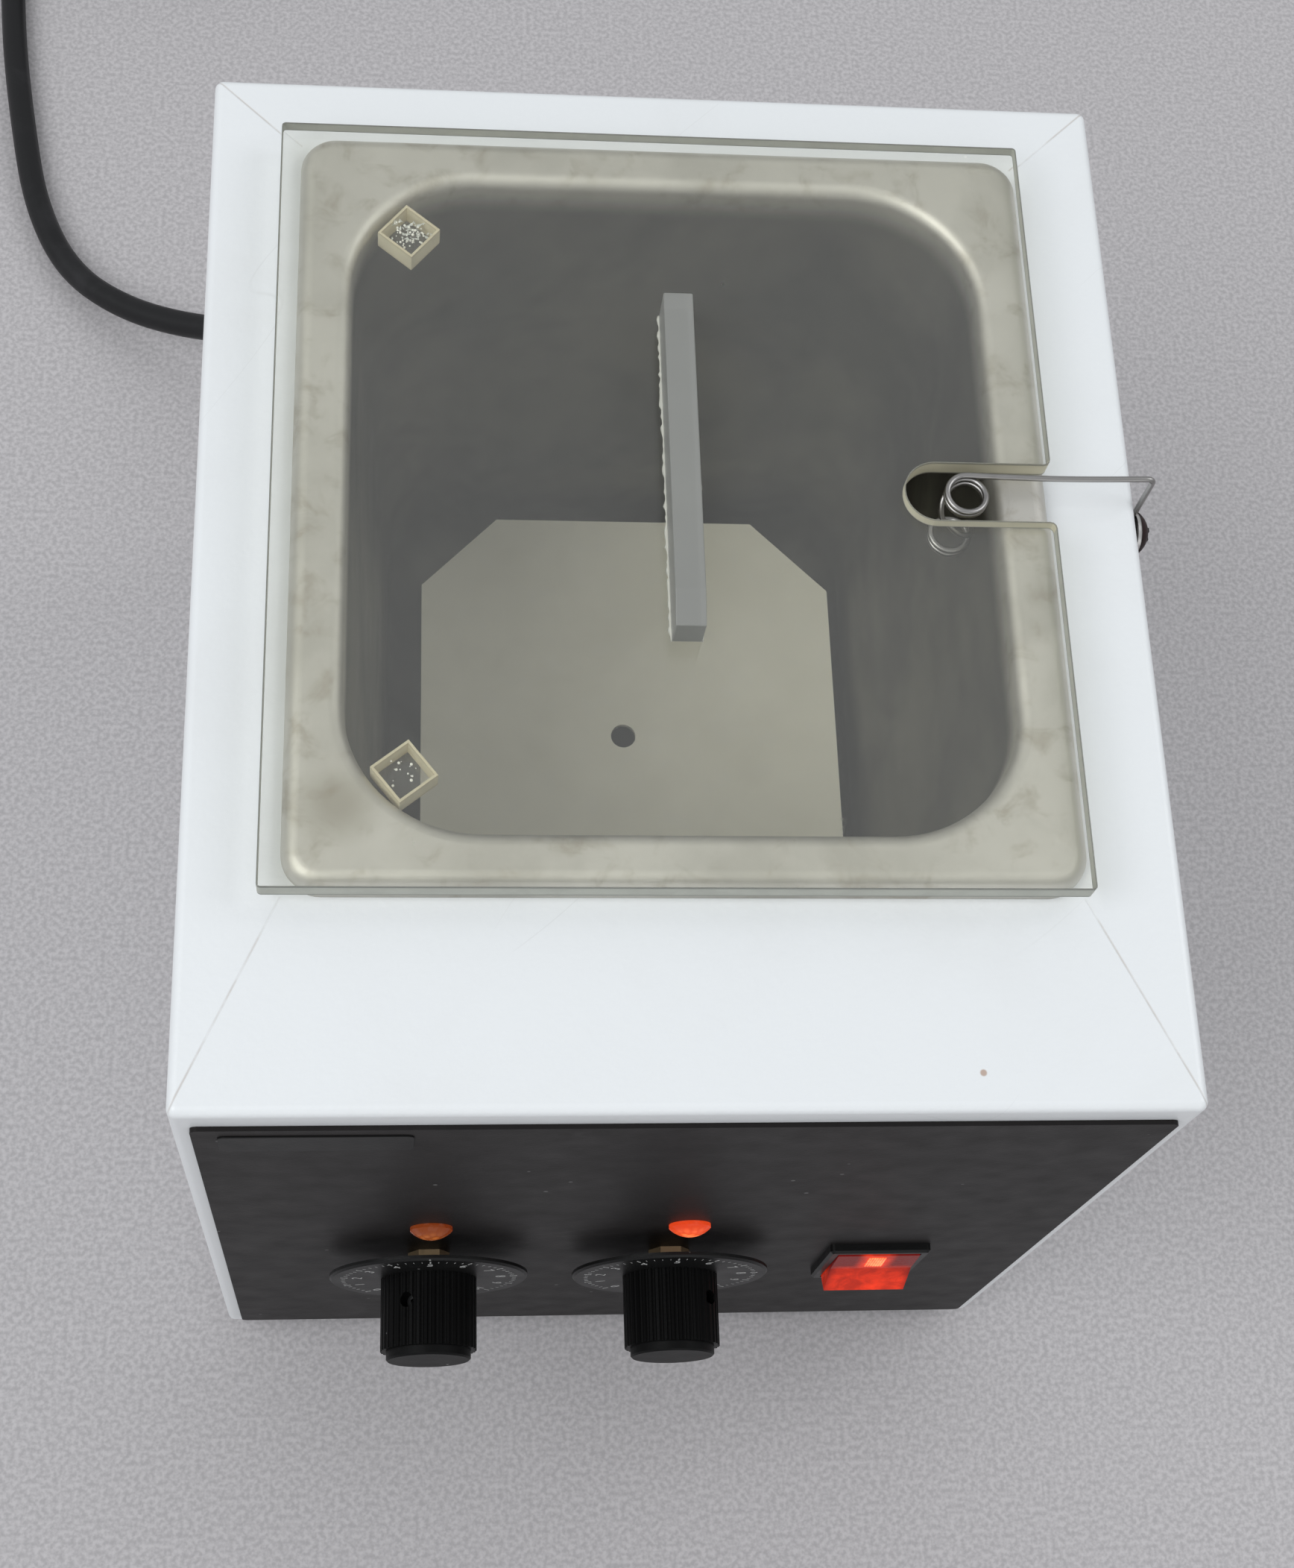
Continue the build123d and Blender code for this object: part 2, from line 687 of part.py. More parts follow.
with BuildPart() as thermometer_clip:
    height = coil_top
    for rise, pitch in stretches:
        height -= rise
        turns = Helix(pitch=pitch, height=rise, radius=coil_mean_radius,
                      center=(clip_x, clip_y, height), lefthand=True, mode=Mode.PRIVATE)
        with BuildSketch(Plane(origin=turns @ 0, z_dir=turns % 0)):
            Circle(wire_radius)
        sweep(path=turns)
        with Locations(turns @ 0):
            Sphere(wire_radius)
    with BuildLine() as arm:
        FilletPolyline((clip_x, arm_y, coil_top), (leg_x, arm_y, coil_top),
                       (leg_x, arm_y, clip_screw_z), radius=2.0)
    with BuildSketch(Plane(origin=(clip_x, arm_y, coil_top), z_dir=(1, 0, 0))):
        Circle(wire_radius)
    sweep(path=arm.line)
    with Locations((clip_x, arm_y, coil_top)):
        Sphere(wire_radius)
    with Locations(Plane(origin=(leg_x, clip_screw_y, clip_screw_z), z_dir=(1, 0, 0))):
        Torus(clip_loop_radius, wire_radius)
keep(thermometer_clip, "thermometer_clip")

with BuildPart() as clip_washers:
    for x in (right, leg_x + wire_radius):
        with BuildSketch(facing_right(clip_screw_y, clip_screw_z, x)):
            Circle(4.5)
            Circle(clip_screw_radius, mode=Mode.SUBTRACT)
        extrude(amount=washer_thickness)
keep(clip_washers, "clip_washers")

head_base = leg_x + wire_radius + washer_thickness
head_height = right + clip_reach - head_base
head_radius = 4.8
dome = (head_radius ** 2 + head_height ** 2) / (2 * head_height)

with BuildPart() as clip_screw:
    with BuildSketch(Plane(origin=(0, clip_screw_y, 0), z_dir=(0, -1, 0), x_dir=(1, 0, 0))):
        with BuildLine():
            Polyline((head_base + head_height, clip_screw_z), (head_base, clip_screw_z),
                     (head_base, clip_screw_z + head_radius))
            RadiusArc((head_base, clip_screw_z + head_radius),
                      (head_base + head_height, clip_screw_z), dome)
        make_face()
    revolve(axis=Axis((head_base, clip_screw_y, clip_screw_z), (1, 0, 0)))
    with BuildSketch(facing_right(clip_screw_y, clip_screw_z, right - sheet - 6.0)):
        Circle(clip_screw_radius)
    extrude(amount=head_base - right + sheet + 6.0)
keep(clip_screw, "clip_screw")

with BuildPart() as clip_nut:
    with BuildSketch(facing_right(clip_screw_y, clip_screw_z, right - sheet)):
        RegularPolygon(3.2, 6, major_radius=False)
        Circle(clip_screw_radius, mode=Mode.SUBTRACT)
    extrude(amount=-2.6)
keep(clip_nut, "clip_nut")

# ---------------------------------------------------------------- lid
lid_gap = 0.05
lid_base = flange_top + lid_gap
lid_top = lid_base + lid_thickness
lid_right = lid_x + lid_width / 2
slot_width = 13.8
slot_end_x = clip_x - 6.3
handle_x = case_x
handle_y = case_y + 14.3
handle_width = 6.35
handle_length = 78.0
handle_height = 9.5
handle_slope_length = 6.0
handle_slope_height = 2.7
block_side = 9.6
block_height = 5.2
block_x = case_x - 57.3

with BuildPart() as lid_plate:
    with BuildSketch(Plane.XY.offset(lid_base)):
        with Locations((lid_x, lid_y)):
            outline = Rectangle(lid_width, lid_length)
            fillet(outline.vertices(), 0.8)
        with Locations((slot_end_x, lid_y)):
            Circle(slot_width / 2, mode=Mode.SUBTRACT)
        with Locations(((slot_end_x + lid_right) / 2, lid_y)):
            Rectangle(lid_right - slot_end_x, slot_width, mode=Mode.SUBTRACT)
    extrude(amount=lid_thickness)
keep(lid_plate, "lid_plate")

with BuildPart() as lid_handle:
    with BuildSketch(Plane(origin=(handle_x - handle_width / 2, handle_y, lid_top),
                           x_dir=(0, 1, 0), z_dir=(1, 0, 0))):
        with BuildLine():
            half = handle_length / 2
            Polyline((-half, 0), (half, 0), (half, handle_height),
                     (-half + handle_slope_length, handle_height),
                     (-half, handle_height - handle_slope_height), close=True)
        make_face()
    extrude(amount=handle_width)
keep(lid_handle, "lid_handle")

with BuildPart() as lid_blocks:
    with BuildSketch(Plane.XY.offset(lid_base)):
        for y, turn in ((case_y + 75.4, 50.0), (case_y - 52.3, 38.0)):
            with Locations(Location((block_x, y), turn)):
                Rectangle(block_side, block_side)
    extrude(amount=-block_height)
keep(lid_blocks, "lid_blocks")

# ---------------------------------------------------------------- mains inlet and wiring
relief_flange_radius = 9.0
relief_nose = 11.0
cord_start = rear + 3.0

with BuildPart() as strain_relief:
    with BuildSketch(facing_rear(relief_x, relief_z, rear)):
        Circle(relief_flange_radius)
    extrude(amount=2.6)
    fillet(strain_relief.faces().sort_by(Axis.Y)[-1].edges(), 1.0)
    with BuildSketch(facing_rear(relief_x, relief_z, rear + 2.6)):
        Circle(6.6)
    extrude(amount=relief_nose - 2.6, taper=6)
    with BuildSketch(facing_rear(relief_x, relief_z, rear - 9.0)):
        Circle(relief_hole_radius)
    extrude(amount=9.0)
    with BuildSketch(facing_rear(relief_x, relief_z, rear - 9.0)):
        Circle(cord_radius)
    extrude(amount=9.0 + relief_nose, mode=Mode.SUBTRACT)
keep(strain_relief, "strain_relief")

block_base_x = relief_x + 32.0
block_base_y = rear - 26.0
block_pitch = 10.5

with BuildPart() as terminal_block:
    with BuildSketch(Plane.XY.offset(base)):
        with Locations((block_base_x, block_base_y)):
            Rectangle(44.0, 17.0)
    extrude(amount=13.0)
    with BuildSketch(Plane.XY.offset(base + 13.0)):
        with Locations((block_base_x, block_base_y)):
            with GridLocations(block_pitch, 9.0, 4, 2):
                Circle(2.6)
    extrude(amount=-5.0, mode=Mode.SUBTRACT)
keep(terminal_block, "terminal_block")

with BuildPart() as terminal_screws:
    with BuildSketch(Plane.XY.offset(base + 8.0)):
        with Locations((block_base_x, block_base_y)):
            with GridLocations(block_pitch, 9.0, 4, 2):
                Circle(2.4)
    extrude(amount=2.0)
keep(terminal_screws, "terminal_screws")

ground_x = relief_x + 2.0
ground_y = rear - 46.0

with BuildPart() as ground_screw:
    with BuildSketch(Plane.XY.offset(base)):
        with Locations((ground_x, ground_y)):
            Circle(4.5)
    extrude(amount=1.0)
    with BuildSketch(Plane.XY.offset(base + 1.0)):
        with Locations((ground_x, ground_y)):
            RegularPolygon(3.5, 6, major_radius=False)
    extrude(amount=3.2)
keep(ground_screw, "ground_screw")

wire_thick = 1.3
heater_tab_z = tank_underside - heater_thickness / 2 + 0.4
body_back = front + sheet + body_depth
wire_top = base + 10.5


def from_block(step, side, height):
    """The first two points of a wire that rises from one of the terminal block's screws."""
    x = block_base_x + step * block_pitch
    return (x, block_base_y + side * 4.5, wire_top), (x, block_base_y + side * 4.5, height)


wire_routes = (
    (*from_block(-1.5, 1, base + 24.0), (relief_x, rear - 20.0, relief_z),
     (relief_x, rear - 9.0, relief_z)),
    (*from_block(1.5, -1, base + 26.0), (switch_x - 8.0, front + 60.0, base + 24.0),
     (switch_x, front + 44.0, switch_z), (switch_x, panel_face + switch_depth + 8.0, switch_z)),
    (*from_block(0.5, -1, base + 30.0), (temp_x + 14.0, front + 58.0, base + 30.0),
     (temp_x + 8.0, front + 46.0, control_z - 6.0), (temp_x + 8.0, body_back + 4.5, control_z - 6.0)),
    (*from_block(-0.5, -1, base + 34.0), (tank_x - 12.0, tank_y - heater_length / 2 - 24.0, base + 40.0),
     (tank_x - 12.0, tank_y - heater_length / 2 - 18.0, heater_tab_z),
     (tank_x - 12.0, tank_y - heater_length / 2 - 8.2, heater_tab_z)),
)

with BuildPart() as wiring:
    for route in wire_routes:
        with BuildLine(mode=Mode.PRIVATE) as wire:
            FilletPolyline(*route, radius=2.5)
        with BuildSketch(Plane(origin=wire.line @ 0, z_dir=wire.line % 0)):
            Circle(wire_thick)
        sweep(path=wire.line)
keep(wiring, "wiring")

# ---------------------------------------------------------------- mains cord
# The route leaves the relief at the back, drops to the table and runs off to the rear.
coil_x = case_x - 144.0
coil_y = case_y + 396.0
coil_inner = 36.0
coil_outer = 52.0
coil_layers = 3

cord_route = [
    (relief_x, cord_start, relief_z),
    (relief_x, rear + 23.0, relief_z - 1.0),
    (case_x - 87.3, rear + 42.0, 40.0),
    (case_x - 102.3, rear + 57.0, 30.5),
    (case_x - 122.8, rear + 64.5, 19.0),
    (case_x - 146.3, rear + 77.0, 9.5),
    (case_x - 165.3, rear + 94.0, 4.5),
    (case_x - 177.0, rear + 119.0, cord_radius),
    (case_x - 183.0, rear + 149.0, cord_radius),
    (case_x - 188.0, rear + 180.0, cord_radius),
    (case_x - 191.0, rear + 211.0, cord_radius),
    (case_x - 192.5, rear + 239.0, cord_radius),
    (case_x - 192.0, rear + 266.0, cord_radius),
]
tail_height = 2 * coil_layers * cord_radius - cord_radius
plug_height = 11.0
tail_route = [
    (coil_x, coil_y + coil_outer - cord_radius, tail_height),
    (coil_x + 26.0, coil_y + coil_outer - cord_radius - 1.0, tail_height - 1.0),
    (coil_x + 52.0, coil_y + coil_outer - cord_radius - 5.0, plug_height + 3.0),
    (coil_x + 78.0, coil_y + coil_outer - cord_radius - 6.0, plug_height),
]


def bend_radii(points):
    """The largest tidy radius at each corner: 0.45 of the shorter run over the tangent of half the turn."""
    radii = []
    for before, here, after in zip(points, points[1:], points[2:]):
        run_in = Vector(*here) - Vector(*before)
        run_out = Vector(*after) - Vector(*here)
        half_turn = radians(run_in.get_angle(run_out)) / 2
        radii.append(0.45 * min(run_in.length, run_out.length) / tan(half_turn))
    return radii


def cord_tube(points):
    """A round tube along straight runs joined by tangent arcs."""
    radii = bend_radii(points)
    print("cord radii", [round(radius, 1) for radius in radii])
    with BuildPart() as tube:
        with BuildLine() as route:
            FilletPolyline(*points, radius=radii)
        with BuildSketch(Plane(origin=route.line @ 0, z_dir=route.line % 0)):
            Circle(cord_radius)
        sweep(path=route.line)
    section = pi * cord_radius ** 2
    print("cord volume", round(tube.part.volume), "section times length", round(section * route.wire().length))
    return tube


keep(cord_tube(cord_route), "power_cord")
keep(cord_tube(tail_route), "cord_tail")

with BuildPart() as cord_coil:
    with BuildSketch(Plane.XY):
        with Locations((coil_x, coil_y)):
            Circle(coil_outer)
            Circle(coil_inner, mode=Mode.SUBTRACT)
    extrude(amount=coil_layers * cord_diameter)
    fillet(cord_coil.edges().filter_by(GeomType.CIRCLE), cord_radius - 0.5)
keep(cord_coil, "cord_coil")

tie_width = 10.0
tie_thickness = 1.0

with BuildPart() as cord_tie:
    with BuildSketch(Plane(origin=((coil_x + (coil_inner + coil_outer) / 2), coil_y - tie_width / 2,
                                   coil_layers * cord_radius + tie_thickness / 2),
                           x_dir=(1, 0, 0), z_dir=(0, 1, 0))):
        RectangleRounded(coil_outer - coil_inner + 2 * tie_thickness,
                         coil_layers * cord_diameter + tie_thickness, 5)
        RectangleRounded(coil_outer - coil_inner,
                         coil_layers * cord_diameter - tie_thickness, 4, mode=Mode.SUBTRACT)
    extrude(amount=tie_width)
keep(cord_tie, "cord_tie")

plug_x, plug_y, plug_z = tail_route[-1]
neck_length = 16.0
plug_length = 24.0
blade_length = 17.0
blade_spacing = 12.7
along_plug = Plane(origin=(plug_x, plug_y, plug_z), x_dir=(0, 1, 0), z_dir=(1, 0, 0))

with BuildPart() as plug_body:
    with BuildSketch(along_plug):
        Circle(5.2)
    extrude(amount=neck_length, taper=-3)
    with BuildSketch(along_plug.offset(neck_length - 1.0)):
        RectangleRounded(20.0, 16.0, 5)
    with BuildSketch(along_plug.offset(neck_length - 1.0 + plug_length)):
        RectangleRounded(31.0, 21.8, 7)
    loft()
keep(plug_body, "plug_body")

with BuildPart() as plug_blades:
    blade_plane = along_plug.offset(neck_length - 1.0 + plug_length)
    with BuildSketch(blade_plane):
        with Locations((0, -3.0)):
            with GridLocations(blade_spacing, 0, 2, 1):
                Rectangle(1.5, 6.35)
    extrude(amount=blade_length)
    with BuildSketch(blade_plane):
        with Locations((0, 6.0)):
            Circle(2.4)
    extrude(amount=blade_length + 3.5)
keep(plug_blades, "plug_blades")
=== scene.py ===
"""A small bench water bath: white steel case, stainless tank, clear lid, black control panel and mains cord.

Every length is in metres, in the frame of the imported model: +Z up, the control panel facing -Y, the table at
z = 0. Colours are linear red, green, blue and opacity.
"""
import json
from math import cos, pi, radians, sin

import bmesh
import bpy
from mathutils import Matrix, Vector, noise
from mathutils.bvhtree import BVHTree


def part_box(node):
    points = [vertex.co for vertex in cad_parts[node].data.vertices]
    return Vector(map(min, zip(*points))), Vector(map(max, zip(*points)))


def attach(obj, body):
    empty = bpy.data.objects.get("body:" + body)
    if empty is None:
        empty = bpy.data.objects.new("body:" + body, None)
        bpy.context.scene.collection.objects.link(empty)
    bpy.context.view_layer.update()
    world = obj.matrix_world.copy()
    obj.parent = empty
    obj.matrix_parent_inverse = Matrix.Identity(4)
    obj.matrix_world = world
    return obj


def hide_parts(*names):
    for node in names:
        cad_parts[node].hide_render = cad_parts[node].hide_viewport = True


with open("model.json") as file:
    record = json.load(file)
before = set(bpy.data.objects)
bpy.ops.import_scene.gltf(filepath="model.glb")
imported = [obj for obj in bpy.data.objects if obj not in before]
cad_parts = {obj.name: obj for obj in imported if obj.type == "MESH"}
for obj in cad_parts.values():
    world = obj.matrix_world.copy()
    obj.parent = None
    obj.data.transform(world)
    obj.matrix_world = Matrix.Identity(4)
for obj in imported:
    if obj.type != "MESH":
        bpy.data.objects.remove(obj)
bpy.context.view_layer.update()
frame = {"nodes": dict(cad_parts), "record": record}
MM = 0.001

case_low, case_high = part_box("case_shell")
panel_low, panel_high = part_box("front_panel")
tank_low, tank_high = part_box("tank")
lid_low, lid_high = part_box("lid_plate")


def middle(node):
    """The centre of a node's box."""
    low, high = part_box(node)
    return (low + high) / 2


def placed(name, data):
    """A new object that holds this data, linked to the scene."""
    thing = bpy.data.objects.new(name, data)
    bpy.context.scene.collection.objects.link(thing)
    return thing


# ---------------------------------------------------------------- camera
camera = placed("camera", bpy.data.cameras.new("camera"))
camera.data.lens = 56.56
camera.data.shift_x = -0.0043
camera.data.shift_y = -0.0634
camera.location = (-0.0631, -0.2239, 0.6907)
camera_target = Vector((-0.0087, -0.0169, 0.228))
camera_roll = radians(14.1)
gaze = (camera_target - camera.location).to_track_quat("-Z", "Y").to_matrix()
camera.rotation_euler = (gaze @ Matrix.Rotation(camera_roll, 3, "Z")).to_euler()
bpy.context.scene.camera = camera


# ---------------------------------------------------------------- building node trees
class Net:
    """A node tree being built."""

    def __init__(self, tree):
        self.tree = tree

    def link(self, value, socket):
        """Give an input another node's output, or a plain value."""
        if isinstance(value, bpy.types.NodeSocket):
            self.tree.links.new(value, socket)
        else:
            socket.default_value = value

    def add(self, kind, inputs=(), **settings):
        """Add a node, set its properties, and give each input a value or another node's output."""
        node = self.tree.nodes.new(kind)
        for key, value in settings.items():
            setattr(node, key, value)
        for key, value in dict(inputs).items():
            self.link(value, node.inputs[key])
        return node

    def math(self, operation, first, second=0.0):
        """One number worked out from two."""
        return self.add("ShaderNodeMath", {0: first, 1: second}, operation=operation).outputs[0]

    def vector(self, operation, *values):
        """A vector worked out from one or two others, or a number where that is what it gives."""
        node = self.add("ShaderNodeVectorMath", dict(enumerate(values)), operation=operation)
        gives_number = operation in ("DISTANCE", "DOT_PRODUCT", "LENGTH")
        return node.outputs["Value" if gives_number else "Vector"]

    def fade(self, value, low, high):
        """0 where the value is at low, 1 where it is at high, smooth between."""
        ranges = {"Value": value, "From Min": low, "From Max": high}
        return self.add("ShaderNodeMapRange", ranges, interpolation_type="SMOOTHSTEP").outputs["Result"]

    def blend(self, mask, clean, marked, most=1.0):
        """The first colour where the mask is 0, and at most that share of the second where it is 1."""
        if most < 1.0:
            mask = self.math("MULTIPLY", mask, most)
        return self.add("ShaderNodeMix", {0: mask, 6: clean, 7: marked}, data_type="RGBA").outputs[2]

    def use(self, group, **inputs):
        """Place a shader group, with its inputs named with underscores for spaces."""
        node = self.add("ShaderNodeGroup", node_tree=group)
        for key, value in inputs.items():
            self.link(value, node.inputs[key.replace("_", " ")])
        return node.outputs

    def coordinates(self):
        """The piece's own coordinates, in metres."""
        return self.add("ShaderNodeTexCoord").outputs["Object"]

    def axes(self):
        """The X, Y and Z of the piece's own coordinates."""
        return self.add("ShaderNodeSeparateXYZ", {0: self.coordinates()}).outputs


FLOAT = "NodeSocketFloat"
VECTOR = "NodeSocketVector"


def new_group(name, kind, inputs, outputs):
    """A node group with named sockets: its net, its input sockets and its output sockets."""
    tree = bpy.data.node_groups.new(name, kind)
    for label, socket_kind, value in inputs:
        socket = tree.interface.new_socket(label, in_out="INPUT", socket_type=socket_kind)
        if value is not None:
            socket.default_value = value
    for label, socket_kind in outputs:
        tree.interface.new_socket(label, in_out="OUTPUT", socket_type=socket_kind)
    net = Net(tree)
    return net, net.add("NodeGroupInput").outputs, net.add("NodeGroupOutput").inputs


# ---------------------------------------------------------------- surface effects
def make_cloudy_stain():
    """Soft patches, as water marks and handling leave."""
    net, given, result = new_group(
        "cloudy_stain", "ShaderNodeTree",
        [("Scale", FLOAT, 40.0), ("Low", FLOAT, 0.45), ("High", FLOAT, 0.7)], [("Mask", FLOAT)])
    cloud = net.add("ShaderNodeTexNoise", {"Vector": net.coordinates(), "Scale": given["Scale"],
                                           "Detail": 6.0, "Roughness": 0.6, "Distortion": 0.4})
    mask = net.fade(cloud.outputs["Fac"], given["Low"], given["High"])
    net.link(mask, result["Mask"])
    return net.tree


def make_fine_grain():
    """A fine even grain, drawn out along an axis by the stretch."""
    net, given, result = new_group(
        "fine_grain", "ShaderNodeTree",
        [("Scale", FLOAT, 900.0), ("Stretch", VECTOR, (1.0, 1.0, 1.0))],
        [("Height", FLOAT), ("Patches", FLOAT)])
    spread = net.vector("MULTIPLY", net.coordinates(), given["Stretch"])
    fine = net.add("ShaderNodeTexNoise", {"Vector": spread, "Scale": given["Scale"], "Detail": 3.0})
    patch_scale = net.math("DIVIDE", given["Scale"], 9.0)
    coarse = net.add("ShaderNodeTexNoise", {"Vector": spread, "Scale": patch_scale, "Detail": 2.0})
    net.link(fine.outputs["Fac"], result["Height"])
    net.link(coarse.outputs["Fac"], result["Patches"])
    return net.tree


def make_specks():
    """Scattered small round specks, in a share of the cells of a grid of that scale."""
    net, given, result = new_group(
        "specks", "ShaderNodeTree",
        [("Scale", FLOAT, 90.0), ("Size", FLOAT, 0.12), ("Share", FLOAT, 0.1)], [("Mask", FLOAT)])
    cells = net.add("ShaderNodeTexVoronoi", {"Vector": net.coordinates(), "Scale": given["Scale"]})
    chance = net.add("ShaderNodeSeparateColor", {0: cells.outputs["Color"]}).outputs[0]
    chosen = net.math("LESS_THAN", chance, given["Share"])
    near = net.fade(cells.outputs["Distance"], given["Size"], net.math("MULTIPLY", given["Size"], 0.6))
    net.link(net.math("MULTIPLY", chosen, near), result["Mask"])
    return net.tree


def make_scratches():
    """Thin broken scratches that run mostly along the direction with the smallest stretch."""
    net, given, result = new_group(
        "scratches", "ShaderNodeTree",
        [("Scale", FLOAT, 60.0), ("Stretch", VECTOR, (1.0, 0.1, 1.0)), ("Turn", FLOAT, 0.5),
         ("Width", FLOAT, 0.004)], [("Mask", FLOAT)])
    turned = net.add("ShaderNodeVectorRotate", {"Vector": net.coordinates(), "Angle": given["Turn"]})
    spread = net.vector("MULTIPLY", turned.outputs[0], given["Stretch"])
    field = net.add("ShaderNodeTexNoise", {"Vector": spread, "Scale": given["Scale"], "Detail": 1.0})
    off_line = net.math("ABSOLUTE", net.math("SUBTRACT", field.outputs["Fac"], 0.5))
    line = net.fade(off_line, given["Width"], 0.0)
    gaps = net.add("ShaderNodeTexNoise",
                   {"Vector": net.coordinates(), "Scale": given["Scale"], "Detail": 0.0})
    broken = net.math("MULTIPLY", line, net.fade(gaps.outputs["Fac"], 0.5, 0.6))
    net.link(broken, result["Mask"])
    return net.tree


def make_mitre_seam():
    """A thin line on the top of the case from one outer corner towards an inner one."""
    net, given, result = new_group(
        "mitre_seam", "ShaderNodeTree",
        [("Corner", VECTOR, (0, 0, 0)), ("Towards", VECTOR, (1, 0, 0)), ("Width", FLOAT, 0.0003)],
        [("Mask", FLOAT)])
    offset = net.vector("SUBTRACT", net.coordinates(), given["Corner"])
    along = net.vector("SUBTRACT", given["Towards"], given["Corner"])
    unit = net.vector("NORMALIZE", along)
    cross = net.vector("CROSS_PRODUCT", offset, unit)
    aside = net.add("ShaderNodeSeparateXYZ", {0: cross}).outputs["Z"]
    line = net.fade(net.math("ABSOLUTE", aside), given["Width"], 0.0)
    reach = net.vector("DOT_PRODUCT", offset, unit)
    inside = net.math("LESS_THAN", net.math("ABSOLUTE", reach), net.vector("LENGTH", along))
    net.link(net.math("MULTIPLY", line, inside), result["Mask"])
    return net.tree


cloudy_stain = make_cloudy_stain()
fine_grain = make_fine_grain()
specks = make_specks()
scratches = make_scratches()
mitre_seam = make_mitre_seam()

EVEN = (1.0, 1.0, 1.0)
LINT_GREY = (0.30, 0.30, 0.30, 1.0)


# ---------------------------------------------------------------- finishes
def new_finish(name, colour, **surface):
    """A material with its own shader: the material, its net and the shader. Spaces are underscores."""
    material = bpy.data.materials.new(name)
    material.use_nodes = True
    material.diffuse_color = colour
    shader = material.node_tree.nodes["Principled BSDF"]
    shader.inputs["Base Color"].default_value = colour
    for key, value in surface.items():
        shader.inputs[key.replace("_", " ")].default_value = value
    return material, Net(material.node_tree), shader


def shade(colour, amount):
    """A colour made darker or lighter."""
    return (*(min(1.0, channel * amount) for channel in colour[:3]), 1.0)


def add_bump(net, shader, height, depth):
    """Raise the surface by a height that runs from 0 to 1, scaled to a depth in metres."""
    bump = net.add("ShaderNodeBump", {"Height": height, "Distance": depth, "Strength": 1.0})
    net.link(bump.outputs["Normal"], shader.inputs["Normal"])


def set_roughness(net, shader, mask, smooth, rough):
    """Roughness between two values, by a mask."""
    ranges = {"Value": mask, "To Min": smooth, "To Max": rough}
    roughness = net.add("ShaderNodeMapRange", ranges).outputs["Result"]
    net.link(roughness, shader.inputs["Roughness"])


def coat(net, shader, tint, grain, smooth, rough, depth):
    """Give a surface its colour, and a roughness and a relief from its grain."""
    net.link(tint, shader.inputs["Base Color"])
    set_roughness(net, shader, grain["Patches"], smooth, rough)
    add_bump(net, shader, grain["Height"], depth)


def worn_metal(name, colour, smooth, rough, stretch=EVEN, scale=700.0, stain=0.75):
    """Bare or plated metal with a fine grain and soft darker marks."""
    material, net, shader = new_finish(name, colour, Metallic=1.0)
    grain = net.use(fine_grain, Scale=scale, Stretch=stretch)
    marks = net.use(cloudy_stain, Scale=120.0, Low=0.5, High=0.8)["Mask"]
    tint = net.blend(marks, colour, shade(colour, stain))
    coat(net, shader, tint, grain, smooth, rough, depth=0.03 * MM)
    return material


def moulded(name, colour, smooth, rough, depth=0.04 * MM, scale=1400.0, dust=0.0, shine=0.5):
    """Moulded plastic or rubber with a fine texture, a few rubbed patches and a little dust."""
    material, net, shader = new_finish(name, colour, Specular_IOR_Level=shine)
    grain = net.use(fine_grain, Scale=scale, Stretch=EVEN)
    rubbed = net.use(cloudy_stain, Scale=90.0, Low=0.5, High=0.75)["Mask"]
    tint = net.blend(rubbed, colour, shade(colour, 1.5))
    if dust:
        dust_grey = (0.35, 0.35, 0.34, 1.0)
        lint = net.use(specks, Scale=420.0, Size=0.16, Share=dust)["Mask"]
        tint = net.blend(lint, tint, dust_grey)
    coat(net, shader, tint, grain, smooth, rough, depth)
    return material


